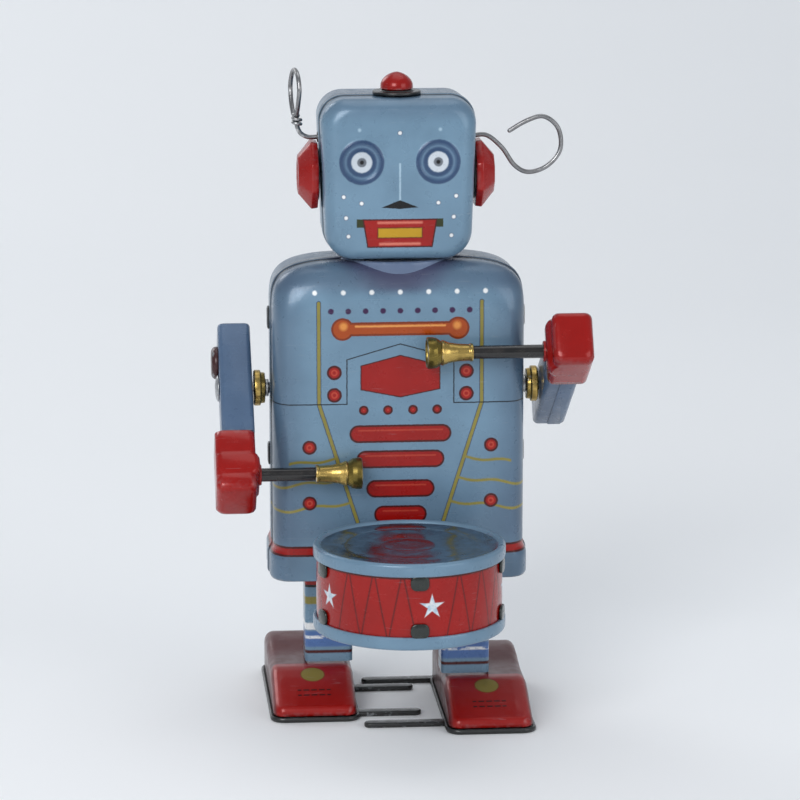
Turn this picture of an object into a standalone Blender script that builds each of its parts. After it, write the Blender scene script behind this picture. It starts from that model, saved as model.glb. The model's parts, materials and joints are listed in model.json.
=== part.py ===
"""Tin wind-up drumming robot: stamped tin shells round a clockwork motor.

The robot faces -Y, its right side is at -X and the floor is at Z = 0.
Every size below is in millimetres; the mesh builders write metres.
"""
import math

import bmesh
import bpy
from mathutils import Matrix, Vector

MM = 0.001

# ---- sheet metal and fits ------------------------------------------------------------
TIN = 0.5            # thickness of the stamped tin
GAP = 0.35           # air left between touching pieces
ROUND = 24           # sides of a turned piece
SHAFT_FIT = 0.35     # radial room round a shaft in its hole

# ---- torso ---------------------------------------------------------------------------
TORSO_HALF_WIDTH = 27.2
SKIRT_HALF_WIDTH = 28.0
TORSO_HALF_DEPTH = 13.0
TORSO_BOTTOM = 31.0
SKIRT_TOP = 36.0
SHOULDER_SPRING = 87.0   # height where the shoulders start to round over
TORSO_TOP = 100.3
SEAM_Y = -2.6            # front and back shells meet on this plane
SHOULDER_POWER = 4.4     # exponent of the shoulder arch

# ---- head ----------------------------------------------------------------------------
HEAD_HALF_WIDTH = 16.6
HEAD_HALF_DEPTH = 12.0
HEAD_BOTTOM = 100.7
HEAD_TOP = 135.3
HEAD_CORNER = 5.5
HEAD_SEAM_Y = -2.5
COLLAR_HALF = (13.0, 11.0)   # half width and half depth of the oval neck collar
COLLAR_BOTTOM = 95.9
COLLAR_WALL = 1.0
EAR_Z = 118.0
EAR_FLATS = 14.4
EAR_OUT = 21.2
LAMP_RADIUS = 3.5
LAMP_TOP = 140.3
LAMP_Y = -3.0            # the lamp stands a little in front of the head seam
FLANGE_RADIUS = 5.2
FLANGE_TOP = 136.3
WIRE_RADIUS = 0.5

# ---- drum ----------------------------------------------------------------------------
DRUM_Y = -35.2
DRUM_RADIUS = 19.5
DRUM_RIM_RADIUS = 20.3
DRUM_BOTTOM = 26.6
DRUM_TOP = 45.0
RIM_HEIGHT = 2.8
RIM_GRIP = 1.2           # height of wall held inside each rim
DRUM_SIDES = 40
BRACKET_HALF_WIDTH = 4.0
BRACKET_HEIGHTS = (29.5, 40.5)

# ---- arms ----------------------------------------------------------------------------
SHOULDER_Z = 71.3
ARM_INNER_X = 31.3
ARM_OUTER_X = 38.4
ARM_DEPTH = 9.3
ARM_TAIL = 14.4          # from the shoulder to the far end of the channel
HAND_START = 14.6        # from the shoulder to the top of the hand
HAND_END = 29.8
HAND_INNER_X = 30.5
HAND_OUTER_X = 40.0
HAND_DEPTH = 11.4
ARM_WALL = 0.6
STICK_DROP = {"right": 22.9, "left": 20.4}   # from the shoulder to the drumstick
STICK_TIP_X = {"right": 8.6, "left": 5.2}
STICK_RADIUS = 1.45
STICK_HOLD = 3.0         # length of stick held in the hand
BELL_LENGTH = 10.0
BELL_RADIUS = 3.4
BELL_SLEEVE_RADIUS = 1.8
RIGHT_ARM_ANGLE = 47.0   # forward of hanging, at rest
LEFT_ARM_ANGLE = 121.0
PIN_RADIUS = 1.2
PIN_INNER_X = 22.0
PIN_HEAD_RADIUS = 2.2
PIN_HEAD_THICK = 0.55
SPOOL_INNER_X = 28.5     # brass spool that spaces the arm from the torso
SPOOL_RADIUS = 3.9
SPOOL_WAIST = 3.3
BOSS_Z = 6.8             # round boss on the outside of the right arm only
BOSS_RADIUS = 3.7
BOSS_THICK = 1.5
LEVER_X = (23.0, 23.9)   # lever inside the torso that rocks the arm
LEVER_REACH = 10.0
LEVER_HALF_WIDTH = 2.6

# ---- walking gear --------------------------------------------------------------------
CRANK_Z = 40.0
CRANK_RADIUS = 6.0
CRANK_ARM_X = 7.2        # inner face of each crank arm
CRANK_ARM_THICK = 0.8
LEG_INNER_X = 9.3
LEG_WIDTH = 10.5
LEG_DEPTH = 7.0
LEG_TOP = CRANK_Z + 3.0
SHOE_INSTEP = 8.4        # top of the shoe in front of the leg and under it
SHOE_TOP = 10.2          # top of the shoe behind the leg
SHOE_INNER_X = 9.5
SHOE_WIDTH = 18.2
SHOE_LENGTH = 44.0
SHOE_TOE_AHEAD = 21.0    # toe tip ahead of the leg's centre
SOLE_THICK = 1.0
SOLE_LIP = 0.7           # the sole stands out past the shoe by this much
SOLE_CORNER = 2.4
PRONG_WIDTH = 3.0
PRONG_NOSE = 1.2         # length of each prong's pointed end
# Each prong is (place along the foot from its middle, x of its tip).
PRONGS = {"right": ((-17.6, 4.7), (2.2, 4.6)), "left": ((-14.5, -8.4), (20.0, -6.5))}

# ---- clockwork -----------------------------------------------------------------------
MODULE = 0.75            # gear module
WALK_TEETH = 16          # gear on the walking shaft
GREAT_TEETH = 32
ESCAPE_PINION_TEETH = 8
CONTRATE_TEETH = 16
CRANK_PINION_TEETH = 8
PLATE_Y = 8.3            # inner face of each motor plate, front and back
PLATE_THICK = 0.6
PLATE_HALF_WIDTH = 16.0
TONGUE_HALF_WIDTH = 7.3
PLATE_BOTTOM = 32.5
PLATE_SHOULDER = 48.8
PLATE_TOP = 88.0
PILLARS = ((-13.6, 51.6), (13.6, 51.6), (-13.0, 84.6), (13.0, 84.6))
PILLAR_RADIUS = 1.3
GEAR_Y = (5.5, 6.7)
ESCAPE_Y = (-4.2, -3.4)
ARBOR_Z = CRANK_Z + MODULE * (WALK_TEETH + GREAT_TEETH) / 2
ESCAPE_Z = ARBOR_Z + MODULE * (GREAT_TEETH + ESCAPE_PINION_TEETH) / 2
PALLET_Z = ESCAPE_Z + 9.2
ARBOR_RADIUS = 1.5
SHAFT_RADIUS = 1.0
KEY_BACK = 32.0          # rear end of the winding key

FRONT_EDGE = DRUM_Y - DRUM_RIM_RADIUS
Y_SHIFT = -(FRONT_EDGE + KEY_BACK) / 2   # centres the whole robot over the origin

ALONG_X = Matrix.Rotation(math.radians(90), 4, "Y")
ALONG_Y = Matrix.Rotation(math.radians(-90), 4, "X")
ALONG_Z = Matrix.Identity(4)

PALETTE = {
    "tin_blue": ((0.17, 0.30, 0.48), 0.35, 0.25),
    "tin_red": ((0.52, 0.02, 0.01), 0.3, 0.2),
    "shoe_red": ((0.45, 0.02, 0.015), 0.35, 0.2),
    "bare_tin": ((0.55, 0.57, 0.6), 0.3, 1.0),
    "black_steel": ((0.03, 0.03, 0.03), 0.4, 0.6),
    "brass": ((0.75, 0.55, 0.22), 0.25, 1.0),
    "steel": ((0.6, 0.6, 0.6), 0.25, 1.0),
    "blued_steel": ((0.1, 0.12, 0.2), 0.3, 1.0),
}


# ---- scene helpers -------------------------------------------------------------------
def clear_scene():
    for thing in list(bpy.data.objects):
        bpy.data.objects.remove(thing, do_unlink=True)


def make_material(slot):
    colour, roughness, metallic = PALETTE[slot]
    material = bpy.data.materials.new(slot)
    material.use_nodes = True
    shader = material.node_tree.nodes["Principled BSDF"]
    shader.inputs["Base Color"].default_value = (*colour, 1.0)
    shader.inputs["Roughness"].default_value = roughness
    shader.inputs["Metallic"].default_value = metallic
    return material


def make_empty(name, place, parent=None, turn_x=0.0):
    empty = bpy.data.objects.new(name, None)
    bpy.context.scene.collection.objects.link(empty)
    empty.parent = parent
    empty.location = Vector(place) * MM
    empty.rotation_euler = (math.radians(turn_x), 0.0, 0.0)
    return empty


def add_node(name, bm, slot, parent, closed=True):
    """Turns a millimetre bmesh into one named object under its parent."""
    if closed:
        bmesh.ops.recalc_face_normals(bm, faces=bm.faces)
    bmesh.ops.scale(bm, vec=(MM, MM, MM), verts=bm.verts)
    mesh = bpy.data.meshes.new(name)
    bm.to_mesh(mesh)
    bm.free()
    mesh.shade_smooth()
    mesh.set_sharp_from_angle(angle=math.radians(35))
    mesh.materials.append(MATERIALS[slot])
    node = bpy.data.objects.new(name, mesh)
    bpy.context.scene.collection.objects.link(node)
    node.parent = parent
    return node


def combine(node, tool_bm, operation):
    """Adds a Boolean with a hidden tool object made from a millimetre bmesh."""
    tool = add_node(node.name + "_tool", tool_bm, "steel", node.parent)
    tool.hide_render = True
    tool.display_type = "WIRE"
    boolean = node.modifiers.new(operation.lower(), "BOOLEAN")
    boolean.operation = operation
    boolean.object = tool


def cut(node, tool_bm):
    combine(node, tool_bm, "DIFFERENCE")


def join(node, tool_bm):
    combine(node, tool_bm, "UNION")


# ---- shape helpers -------------------------------------------------------------------
def prism(outline, low, high, axis=ALONG_Z, centre=(0, 0, 0)):
    """Extrudes a flat outline from low to high along an axis."""
    bm = bmesh.new()
    verts = [bm.verts.new((x, y, low)) for x, y in outline]
    face = bm.faces.new(verts)
    grown = bmesh.ops.extrude_face_region(bm, geom=[face])["geom"]
    top = [item for item in grown if isinstance(item, bmesh.types.BMVert)]
    bmesh.ops.translate(bm, vec=(0, 0, high - low), verts=top)
    bmesh.ops.transform(bm, matrix=Matrix.Translation(centre) @ axis, verts=bm.verts)
    return bm


def box(low, high):
    corners = ((low[0], low[1]), (high[0], low[1]), (high[0], high[1]), (low[0], high[1]))
    return prism(corners, low[2], high[2])


def circle(radius, count=ROUND, centre=(0.0, 0.0), start=0.0):
    points = []
    for step in range(count):
        angle = start + 2 * math.pi * step / count
        points.append((centre[0] + radius * math.cos(angle), centre[1] + radius * math.sin(angle)))
    return points


def rod(radius, low, high, axis=ALONG_Z, centre=(0, 0, 0), count=ROUND):
    return prism(circle(radius, count), low, high, axis, centre)


def turned(profile, axis=ALONG_Z, centre=(0, 0, 0), count=ROUND):
    """Spins a closed (radius, height) profile; points on the axis become poles."""
    bm = bmesh.new()
    verts = [bm.verts.new((radius, 0, height)) for radius, height in profile]
    on_axis = [radius < 1e-6 for radius, _ in profile]
    edges = []
    for index, vert in enumerate(verts):
        following = (index + 1) % len(verts)
        if not (on_axis[index] and on_axis[following]):
            edges.append(bm.edges.new((vert, verts[following])))
    bmesh.ops.spin(bm, geom=verts + edges, cent=(0, 0, 0), axis=(0, 0, 1),
                   angle=2 * math.pi, steps=count, use_merge=True)
    bmesh.ops.remove_doubles(bm, verts=bm.verts, dist=1e-4)
    bmesh.ops.transform(bm, matrix=Matrix.Translation(centre) @ axis, verts=bm.verts)
    return bm


def ring(inner, outer, low, high, axis=ALONG_Z, centre=(0, 0, 0), count=ROUND):
    return turned([(outer, high), (outer, low), (inner, low), (inner, high)], axis, centre, count)


def gear_outline(teeth, phase):
    """Slender straight-flanked teeth with room for backlash."""
    pitch_radius = MODULE * teeth / 2
    pitch = 2 * math.pi / teeth
    flank = ((-1.1, -0.30), (0.0, -0.19), (0.7, -0.09), (0.7, 0.09), (0.0, 0.19), (-1.1, 0.30))
    points = []
    for tooth in range(teeth):
        for height, aside in flank:
            radius = pitch_radius + height * MODULE
            angle = phase + (tooth + aside) * pitch
            points.append((radius * math.cos(angle), radius * math.sin(angle)))
    return points


def star_outline(teeth, inner, outer, lean):
    """Pointed escape-wheel teeth that all lean the same way round."""
    pitch = 2 * math.pi / teeth
    points = []
    for tooth in range(teeth):
        base = tooth * pitch
        points.append((inner * math.cos(base), inner * math.sin(base)))
        tip = base + lean * pitch
        points.append((outer * math.cos(tip), outer * math.sin(tip)))
    return points


def shell_from_rings(rings, front):
    """Joins outline rings into one open pan and closes its flat face."""
    bm = bmesh.new()
    loops = [[bm.verts.new(point) for point in one] for one in rings]
    closed = len(rings[0]) if rings.closed else len(rings[0]) - 1
    for near, far in zip(loops, loops[1:]):
        for index in range(closed):
            after = (index + 1) % len(near)
            bm.faces.new((near[index], near[after], far[after], far[index]))
    bm.faces.new(loops[-1])
    bmesh.ops.recalc_face_normals(bm, faces=bm.faces)
    bm.faces.ensure_lookup_table()
    cap = bm.faces[-1]
    cap.normal_update()
    if cap.normal.y * front < 0:
        bmesh.ops.reverse_faces(bm, faces=bm.faces)
    return bm


class Rings(list):
    """Outline rings of a pan, and whether each one runs all the way round."""
    closed = True


def pan_rings(outline, closed, seam, face, limits, insets, steps=4):
    """Rings from the seam plane to the flat face of a stamped pan.

    limits are (half width, bottom, top); insets are (side, bottom, top, depth) of the
    fillet between the wall and the flat face.
    """
    half_width, bottom, top = limits
    side, low, high, depth = insets
    sign = 1 if face > seam else -1
    rings = Rings()
    rings.closed = closed
    rings.append([(x, seam, z) for x, z in outline])
    for step in range(steps + 1):
        angle = math.radians(90) * step / steps
        shrink = 1 - math.cos(angle)
        y = face - sign * depth * (1 - math.sin(angle))
        wide = (half_width - side * shrink) / half_width
        tall = (top - bottom - (low + high) * shrink) / (top - bottom)
        rings.append([(x * wide, y, bottom + low * shrink + (z - bottom) * tall) for x, z in outline])
    return rings


def thicken(node, thickness):
    solidify = node.modifiers.new("thickness", "SOLIDIFY")
    solidify.thickness = thickness * MM
    solidify.offset = -1.0
    solidify.use_even_offset = True


def torso_outline(steps=7):
    """Open outline, up one side, over the rounded shoulders and down the other."""
    side = [(SKIRT_HALF_WIDTH, TORSO_BOTTOM), (SKIRT_HALF_WIDTH, SKIRT_TOP),
            (TORSO_HALF_WIDTH, SKIRT_TOP + 2.0)]
    rise = TORSO_TOP - SHOULDER_SPRING
    arch = []
    for step in range(steps):
        angle = math.radians(90) * step / steps
        x = TORSO_HALF_WIDTH * math.cos(angle) ** (2 / SHOULDER_POWER)
        z = SHOULDER_SPRING + rise * math.sin(angle) ** (2 / SHOULDER_POWER)
        arch.append((x, z))
    right = side + arch
    return right + [(0.0, TORSO_TOP)] + [(-x, z) for x, z in reversed(right)]


def head_outline(steps=4):
    """Closed outline with rounded corners and a slightly narrower chin."""
    chin_half_width = HEAD_HALF_WIDTH - 0.8
    points = []
    corners = ((1, 1, 0), (-1, 1, 90), (-1, -1, 180), (1, -1, 270))
    for side, up, start in corners:
        half_width = HEAD_HALF_WIDTH if up > 0 else chin_half_width
        x = side * (half_width - HEAD_CORNER)
        z = HEAD_TOP - HEAD_CORNER if up > 0 else HEAD_BOTTOM + HEAD_CORNER
        for step in range(steps + 1):
            angle = math.radians(start + 90 * step / steps)
            points.append((x + HEAD_CORNER * math.cos(angle), z + HEAD_CORNER * math.sin(angle)))
    return points


def rounded_box(low, high, radius, segments=2):
    """A block whose edges are rounded with the bevel operator."""
    bm = box(low, high)
    bmesh.ops.recalc_face_normals(bm, faces=bm.faces)
    bmesh.ops.bevel(bm, geom=list(bm.edges), offset=radius, segments=segments,
                    affect="EDGES", profile=0.5)
    return bm


def side_sign(side):
    """-1 on the robot's right side and +1 on its left."""
    return -1 if side == "right" else 1


def mirror_x(bm, sign):
    """Flips a piece built for the left side over to the side with this sign."""
    bmesh.ops.scale(bm, vec=(sign, 1, 1), verts=bm.verts)
    return bm


def oval(half_x, half_y, count=32):
    points = []
    for step in range(count):
        angle = 2 * math.pi * step / count
        points.append((half_x * math.cos(angle), half_y * math.sin(angle)))
    return points


# ---- body ----------------------------------------------------------------------------
def build_torso(root):
    limits = (TORSO_HALF_WIDTH, TORSO_BOTTOM, TORSO_TOP)
    insets = (4.0, 0.0, 8.0, 6.0)
    outline = torso_outline()
    for name, seam, face in (("body_front_shell", SEAM_Y - GAP / 2, -TORSO_HALF_DEPTH),
                             ("body_back_shell", SEAM_Y + GAP / 2, TORSO_HALF_DEPTH)):
        rings = pan_rings(outline, False, seam, face, limits, insets)
        shell = add_node(name, shell_from_rings(rings, face), "tin_blue", root, closed=False)
        thicken(shell, TIN)
        half_x, half_y = COLLAR_HALF
        cut(shell, prism(oval(half_x + GAP, half_y + GAP), COLLAR_BOTTOM - 2, TORSO_TOP + 2))
        if face > 0:
            cut(shell, rod(PIN_RADIUS + SHAFT_FIT, -30, 30, ALONG_X, (0, 0, SHOULDER_Z), 12))
            cut(shell, rod(ARBOR_RADIUS + 0.6, 11, 15, ALONG_Y, (0, 0, ARBOR_Z), 16))


def build_bottom_plate(root):
    half_x = SKIRT_HALF_WIDTH - TIN - GAP
    half_y = TORSO_HALF_DEPTH - TIN - GAP
    corner = 6.0
    outline = [(half_x, -half_y + corner), (half_x, half_y - corner),
               (half_x - corner, half_y), (-half_x + corner, half_y),
               (-half_x, half_y - corner), (-half_x, -half_y + corner),
               (-half_x + corner, -half_y), (half_x - corner, -half_y)]
    low = TORSO_BOTTOM + 0.4
    plate = add_node("bottom_plate", prism(outline, low, low + TIN), "bare_tin", root)
    reach = CRANK_RADIUS + LEG_DEPTH / 2 + 0.5
    for sign in (-1, 1):
        inner = LEG_INNER_X - 0.5
        outer = LEG_INNER_X + LEG_WIDTH + 0.5
        xs = sorted((sign * inner, sign * outer))
        cut(plate, box((xs[0], -reach, low - 1), (xs[1], reach, low + 2)))


def build_head(root):
    limits = (HEAD_HALF_WIDTH, HEAD_BOTTOM, HEAD_TOP)
    insets = (3.5, 3.0, 3.0, 4.0)
    outline = head_outline()
    for name, seam, face in (("head_front_shell", HEAD_SEAM_Y - GAP / 2, -HEAD_HALF_DEPTH),
                             ("head_back_shell", HEAD_SEAM_Y + GAP / 2, HEAD_HALF_DEPTH)):
        rings = pan_rings(outline, True, seam, face, limits, insets)
        shell = add_node(name, shell_from_rings(rings, face), "tin_blue", root, closed=False)
        thicken(shell, TIN)


def build_collar(root):
    """Oval ring that stands in the torso's neck hole and carries the head."""
    half_x, half_y = COLLAR_HALF
    outer = prism(oval(half_x, half_y), COLLAR_BOTTOM, HEAD_BOTTOM - GAP)
    collar = add_node("neck_collar", outer, "tin_blue", root)
    inner = oval(half_x - COLLAR_WALL, half_y - COLLAR_WALL)
    cut(collar, prism(inner, COLLAR_BOTTOM - 1, HEAD_BOTTOM + 1))


def build_lamp(root):
    flange_low = HEAD_TOP + GAP
    flange = rod(FLANGE_RADIUS, flange_low, FLANGE_TOP, centre=(0, LAMP_Y, 0))
    add_node("lamp_flange", flange, "black_steel", root)
    base = FLANGE_TOP + 0.3
    height = LAMP_TOP - base
    profile = [(0.0, base), (LAMP_RADIUS, base)]
    for step in range(7):
        angle = math.radians(15 * step)
        profile.append((LAMP_RADIUS * math.cos(angle) ** 1.3, base + 0.6 + (height - 0.6) * math.sin(angle)))
    profile[-1] = (0.0, LAMP_TOP)
    add_node("lamp", turned(profile, centre=(0, LAMP_Y, 0)), "tin_red", root)


def build_ear(side, root):
    sign = side_sign(side)
    inner = HEAD_HALF_WIDTH + GAP
    skirt = 1.4
    wide = EAR_FLATS / 2 / math.cos(math.pi / 8)
    narrow = wide - 3.0
    bm = bmesh.new()
    loops = []
    for x, radius in ((inner, wide), (inner + skirt, wide), (EAR_OUT, narrow)):
        points = circle(radius, 8, (0.0, EAR_Z), math.pi / 8)
        loops.append([bm.verts.new((sign * x, y, z)) for y, z in points])
    for near, far in zip(loops, loops[1:]):
        for index in range(8):
            bm.faces.new((near[index], near[(index + 1) % 8], far[(index + 1) % 8], far[index]))
    bm.faces.new(loops[0])
    bm.faces.new(loops[-1])
    add_node(side + "_ear", bm, "tin_red", root)


def smooth_route(points, steps):
    """Catmull-Rom points through a hand-chosen route."""
    ends = [points[0]] + list(points) + [points[-1]]
    route = []
    for index in range(1, len(ends) - 2):
        p0, p1, p2, p3 = (Vector(p) for p in ends[index - 1:index + 3])
        for step in range(steps):
            t = step / steps
            route.append(0.5 * (2 * p1 + (p2 - p0) * t + (2 * p0 - 5 * p1 + 4 * p2 - p3) * t * t
                                + (3 * p1 - p0 - 3 * p2 + p3) * t ** 3))
    route.append(Vector(points[-1]))
    return route


def build_antenna(side, points, root):
    curve = bpy.data.curves.new(side + "_antenna", "CURVE")
    curve.dimensions = "3D"
    curve.bevel_depth = WIRE_RADIUS * MM
    curve.bevel_resolution = 1
    curve.use_fill_caps = True
    route = smooth_route(points, 3)
    spline = curve.splines.new("POLY")
    spline.points.add(len(route) - 1)
    for point, place in zip(spline.points, route):
        point.co = (*(place * MM), 1.0)
    curve.materials.append(MATERIALS["steel"])
    antenna = bpy.data.objects.new(side + "_antenna", curve)
    bpy.context.scene.collection.objects.link(antenna)
    antenna.parent = root


RIGHT_ANTENNA = ((-16.95, -0.5, 126.1), (-18.8, -0.5, 126.1), (-20.4, -0.6, 126.9),
                 (-21.2, -0.5, 128.6), (-21.3, -1.0, 130.6), (-21.1, -3.2, 133.4),
                 (-20.9, -4.5, 136.6), (-21.1, -3.2, 139.4), (-21.6, 0.0, 140.5),
                 (-22.0, 3.0, 139.4), (-22.3, 4.4, 136.6), (-22.2, 3.2, 133.4),
                 (-21.9, 1.0, 130.9))
LEFT_ANTENNA = ((16.95, -0.5, 126.1), (19.8, -0.5, 126.0), (23.0, -0.8, 123.3),
                (25.6, -1.2, 119.6), (28.6, -1.4, 118.1), (32.6, -1.4, 119.3),
                (35.5, -1.2, 122.8), (35.1, -0.9, 127.4), (32.0, -0.7, 130.0),
                (28.3, -0.6, 129.1), (24.6, -0.6, 127.0))


# ---- drum ----------------------------------------------------------------------------
def build_drum(root):
    centre = (0, DRUM_Y, 0)
    wall_low = DRUM_BOTTOM + RIM_HEIGHT - RIM_GRIP
    wall_high = DRUM_TOP - RIM_HEIGHT + RIM_GRIP
    shell = ring(DRUM_RADIUS - TIN, DRUM_RADIUS, wall_low, wall_high, centre=centre, count=DRUM_SIDES)
    add_node("drum_shell", shell, "tin_red", root)
    inner = DRUM_RADIUS + GAP
    lip = DRUM_RIM_RADIUS
    for name, low, high, inward in (("drum_top_rim", DRUM_TOP - RIM_HEIGHT, DRUM_TOP, True),
                                    ("drum_bottom_rim", DRUM_BOTTOM, DRUM_BOTTOM + RIM_HEIGHT, False)):
        edge = high if inward else low
        step = -0.7 if inward else 0.7
        far = low if inward else high
        profile = [(inner, far), (lip, far), (lip, edge), (lip - 1.6, edge),
                   (lip - 1.6, edge + step), (inner, edge + step)]
        add_node(name, turned(profile, centre=centre, count=DRUM_SIDES), "tin_blue", root)
    head_low = wall_high + 0.3
    head_radius = lip - 2.0
    add_node("drum_head", rod(head_radius, head_low, head_low + TIN, centre=centre, count=DRUM_SIDES),
             "bare_tin", root)
    floor_high = wall_low - 0.3
    add_node("drum_floor", rod(head_radius, floor_high - TIN, floor_high, centre=centre, count=DRUM_SIDES),
             "bare_tin", root)
    back = DRUM_Y + DRUM_RADIUS
    low, high = BRACKET_HEIGHTS
    bracket = box((-BRACKET_HALF_WIDTH, back + GAP, low),
                  (BRACKET_HALF_WIDTH, -TORSO_HALF_DEPTH - GAP, high))
    add_node("drum_bracket", bracket, "bare_tin", root)


# ---- arms ----------------------------------------------------------------------------
def build_channel(side, shoulder):
    """Folded tin arm: a closed box section, open at the hand and shut at its tail."""
    sign = side_sign(side)
    half = ARM_DEPTH / 2
    low = -HAND_START + GAP
    xs = sorted((sign * ARM_INNER_X, sign * ARM_OUTER_X))
    channel = add_node(side + "_arm_channel", box((xs[0], -half, low), (xs[1], half, ARM_TAIL)),
                       "tin_blue", shoulder)
    cut(channel, box((xs[0] + ARM_WALL, -half + ARM_WALL, low - 1),
                     (xs[1] - ARM_WALL, half - ARM_WALL, ARM_TAIL - ARM_WALL)))
    cut(channel, rod(PIN_RADIUS + SHAFT_FIT, sign * 45, sign * 25, ALONG_X, count=12))
    if side == "right":
        boss = [(0.0, ARM_OUTER_X - ARM_WALL / 2), (BOSS_RADIUS, ARM_OUTER_X - ARM_WALL / 2),
                (BOSS_RADIUS, ARM_OUTER_X + BOSS_THICK * 0.6),
                (BOSS_RADIUS * 0.8, ARM_OUTER_X + BOSS_THICK), (0.0, ARM_OUTER_X + BOSS_THICK)]
        join(channel, mirror_x(turned(boss, ALONG_X, (0, 0, BOSS_Z), 20), sign))


def build_hand(side, shoulder):
    """Fist block with a drumstick held in it and the brass bell on the stick's tip."""
    sign = side_sign(side)
    xs = sorted((sign * HAND_INNER_X, sign * HAND_OUTER_X))
    fist = rounded_box((xs[0], -HAND_DEPTH / 2, -HAND_END), (xs[1], HAND_DEPTH / 2, -HAND_START), 1.6)
    hand = add_node(side + "_hand", fist, "tin_red", shoulder)
    grip = (0, 0, -STICK_DROP[side])
    base = HAND_INNER_X
    hole = rod(STICK_RADIUS + GAP, base - 4, base + STICK_HOLD + GAP, ALONG_X, grip, 12)
    cut(hand, mirror_x(hole, sign))
    tip = STICK_TIP_X[side]
    stick = rod(STICK_RADIUS, tip + BELL_LENGTH + GAP, base + STICK_HOLD, ALONG_X, grip, 12)
    add_node(side + "_stick", mirror_x(stick, sign), "black_steel", shoulder)
    profile = [(0.0, tip), (BELL_RADIUS, tip), (BELL_RADIUS, tip + 1.4), (BELL_RADIUS - 0.4, tip + 2.7),
               (BELL_SLEEVE_RADIUS + 0.7, tip + 3.4), (BELL_SLEEVE_RADIUS + 0.4, tip + 5.0),
               (BELL_SLEEVE_RADIUS, tip + 7.2), (BELL_SLEEVE_RADIUS, tip + BELL_LENGTH),
               (0.0, tip + BELL_LENGTH)]
    bell = mirror_x(turned(profile, ALONG_X, grip, 16), sign)
    add_node(side + "_stick_bell", bell, "brass", shoulder)


def build_shoulder(side, shoulder):
    """Brass spool, the pin through it, and the lever that rocks the arm from inside."""
    sign = side_sign(side)
    hole = PIN_RADIUS + SHAFT_FIT
    near, far = SPOOL_INNER_X, ARM_INNER_X - GAP
    waist_low, waist_high = near + 0.7, far - 0.7
    spool = [(hole, near), (SPOOL_RADIUS, near), (SPOOL_RADIUS, waist_low), (SPOOL_WAIST, waist_low + 0.3),
             (SPOOL_WAIST, waist_high - 0.3), (SPOOL_RADIUS, waist_high), (SPOOL_RADIUS, far), (hole, far)]
    add_node(side + "_shoulder_ferrule", mirror_x(turned(spool, ALONG_X, count=16), sign), "brass", shoulder)
    head_low = ARM_OUTER_X + GAP
    head_high = head_low + PIN_HEAD_THICK
    pin = [(0.0, PIN_INNER_X), (PIN_RADIUS, PIN_INNER_X), (PIN_RADIUS, head_low),
           (PIN_HEAD_RADIUS, head_low), (PIN_HEAD_RADIUS, head_low + PIN_HEAD_THICK / 2),
           (PIN_HEAD_RADIUS / 2, head_high), (0.0, head_high)]
    add_node(side + "_shoulder_pin", mirror_x(turned(pin, ALONG_X, count=16), sign), "steel", shoulder)
    low, high = sorted((sign * LEVER_X[0], sign * LEVER_X[1]))
    wide, tip = LEVER_HALF_WIDTH, LEVER_HALF_WIDTH * 0.55
    outline = [(-wide, -wide), (-wide, wide), (wide, wide), (LEVER_REACH, tip), (LEVER_REACH, -tip),
               (wide, -wide)]
    lever = add_node(side + "_arm_lever", prism(outline, low, high, ALONG_X), "steel", shoulder)
    cut(lever, rod(hole, low - 1, high + 1, ALONG_X, count=12))


# ---- legs and feet -------------------------------------------------------------------
def build_leg(side, carrier):
    """Folded tin leg; the carrier empty sits on the crank pin."""
    sign = side_sign(side)
    inner = LEG_INNER_X
    outer = inner + LEG_WIDTH
    half = LEG_DEPTH / 2
    outline = [(inner, half), (inner, -half), (outer, -half), (outer, half),
               (outer - ARM_WALL, half), (outer - ARM_WALL, -half + ARM_WALL),
               (inner + ARM_WALL, -half + ARM_WALL), (inner + ARM_WALL, half)]
    outline = [(sign * x, y) for x, y in outline]
    low = SHOE_INSTEP + GAP - CRANK_Z
    leg = add_node(side + "_leg", prism(outline, low, LEG_TOP - CRANK_Z), "tin_blue", carrier)
    cut(leg, rod(PIN_RADIUS + SHAFT_FIT, sign * (inner - 1), sign * (inner + 2), ALONG_X, count=12))


def build_shoe(side, carrier):
    """Hollow stamped shoe, open underneath, over its flat sole."""
    sign = side_sign(side)
    toe = -SHOE_TOE_AHEAD
    heel = toe + SHOE_LENGTH
    front = -LEG_DEPTH / 2
    low = SOLE_THICK + 0.3 - CRANK_Z
    instep, top = SHOE_INSTEP - CRANK_Z, SHOE_TOP - CRANK_Z
    profile = [(toe, low), (toe, low + 1.6), (front - 1.0, instep - 0.4), (front + 0.2, instep),
               (-front + 0.6, instep), (heel - 5.0, top), (heel - 1.6, top - 1.2),
               (heel, top - 4.6), (heel, low)]
    xs = sorted((sign * SHOE_INNER_X, sign * (SHOE_INNER_X + SHOE_WIDTH)))
    bm = bmesh.new()
    sides = [[bm.verts.new((x, y, z)) for y, z in profile] for x in xs]
    for index in range(len(profile) - 1):
        bm.faces.new((sides[0][index], sides[0][index + 1], sides[1][index + 1], sides[1][index]))
    for one in sides:
        bm.faces.new(one)
    bmesh.ops.recalc_face_normals(bm, faces=bm.faces)
    edges = [edge for edge in bm.edges if len(edge.link_faces) == 2
             and abs(edge.verts[0].co.x - edge.verts[1].co.x) < 1e-6]
    bmesh.ops.bevel(bm, geom=edges, offset=1.3, segments=2, affect="EDGES", profile=0.5,
                    clamp_overlap=True)
    lid = max(bm.faces, key=lambda face: face.calc_center_median().z)
    lid.normal_update()
    if lid.normal.z < 0:
        bmesh.ops.reverse_faces(bm, faces=bm.faces)
    shoe = add_node(side + "_shoe", bm, "shoe_red", carrier, closed=False)
    thicken(shoe, TIN)


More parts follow.
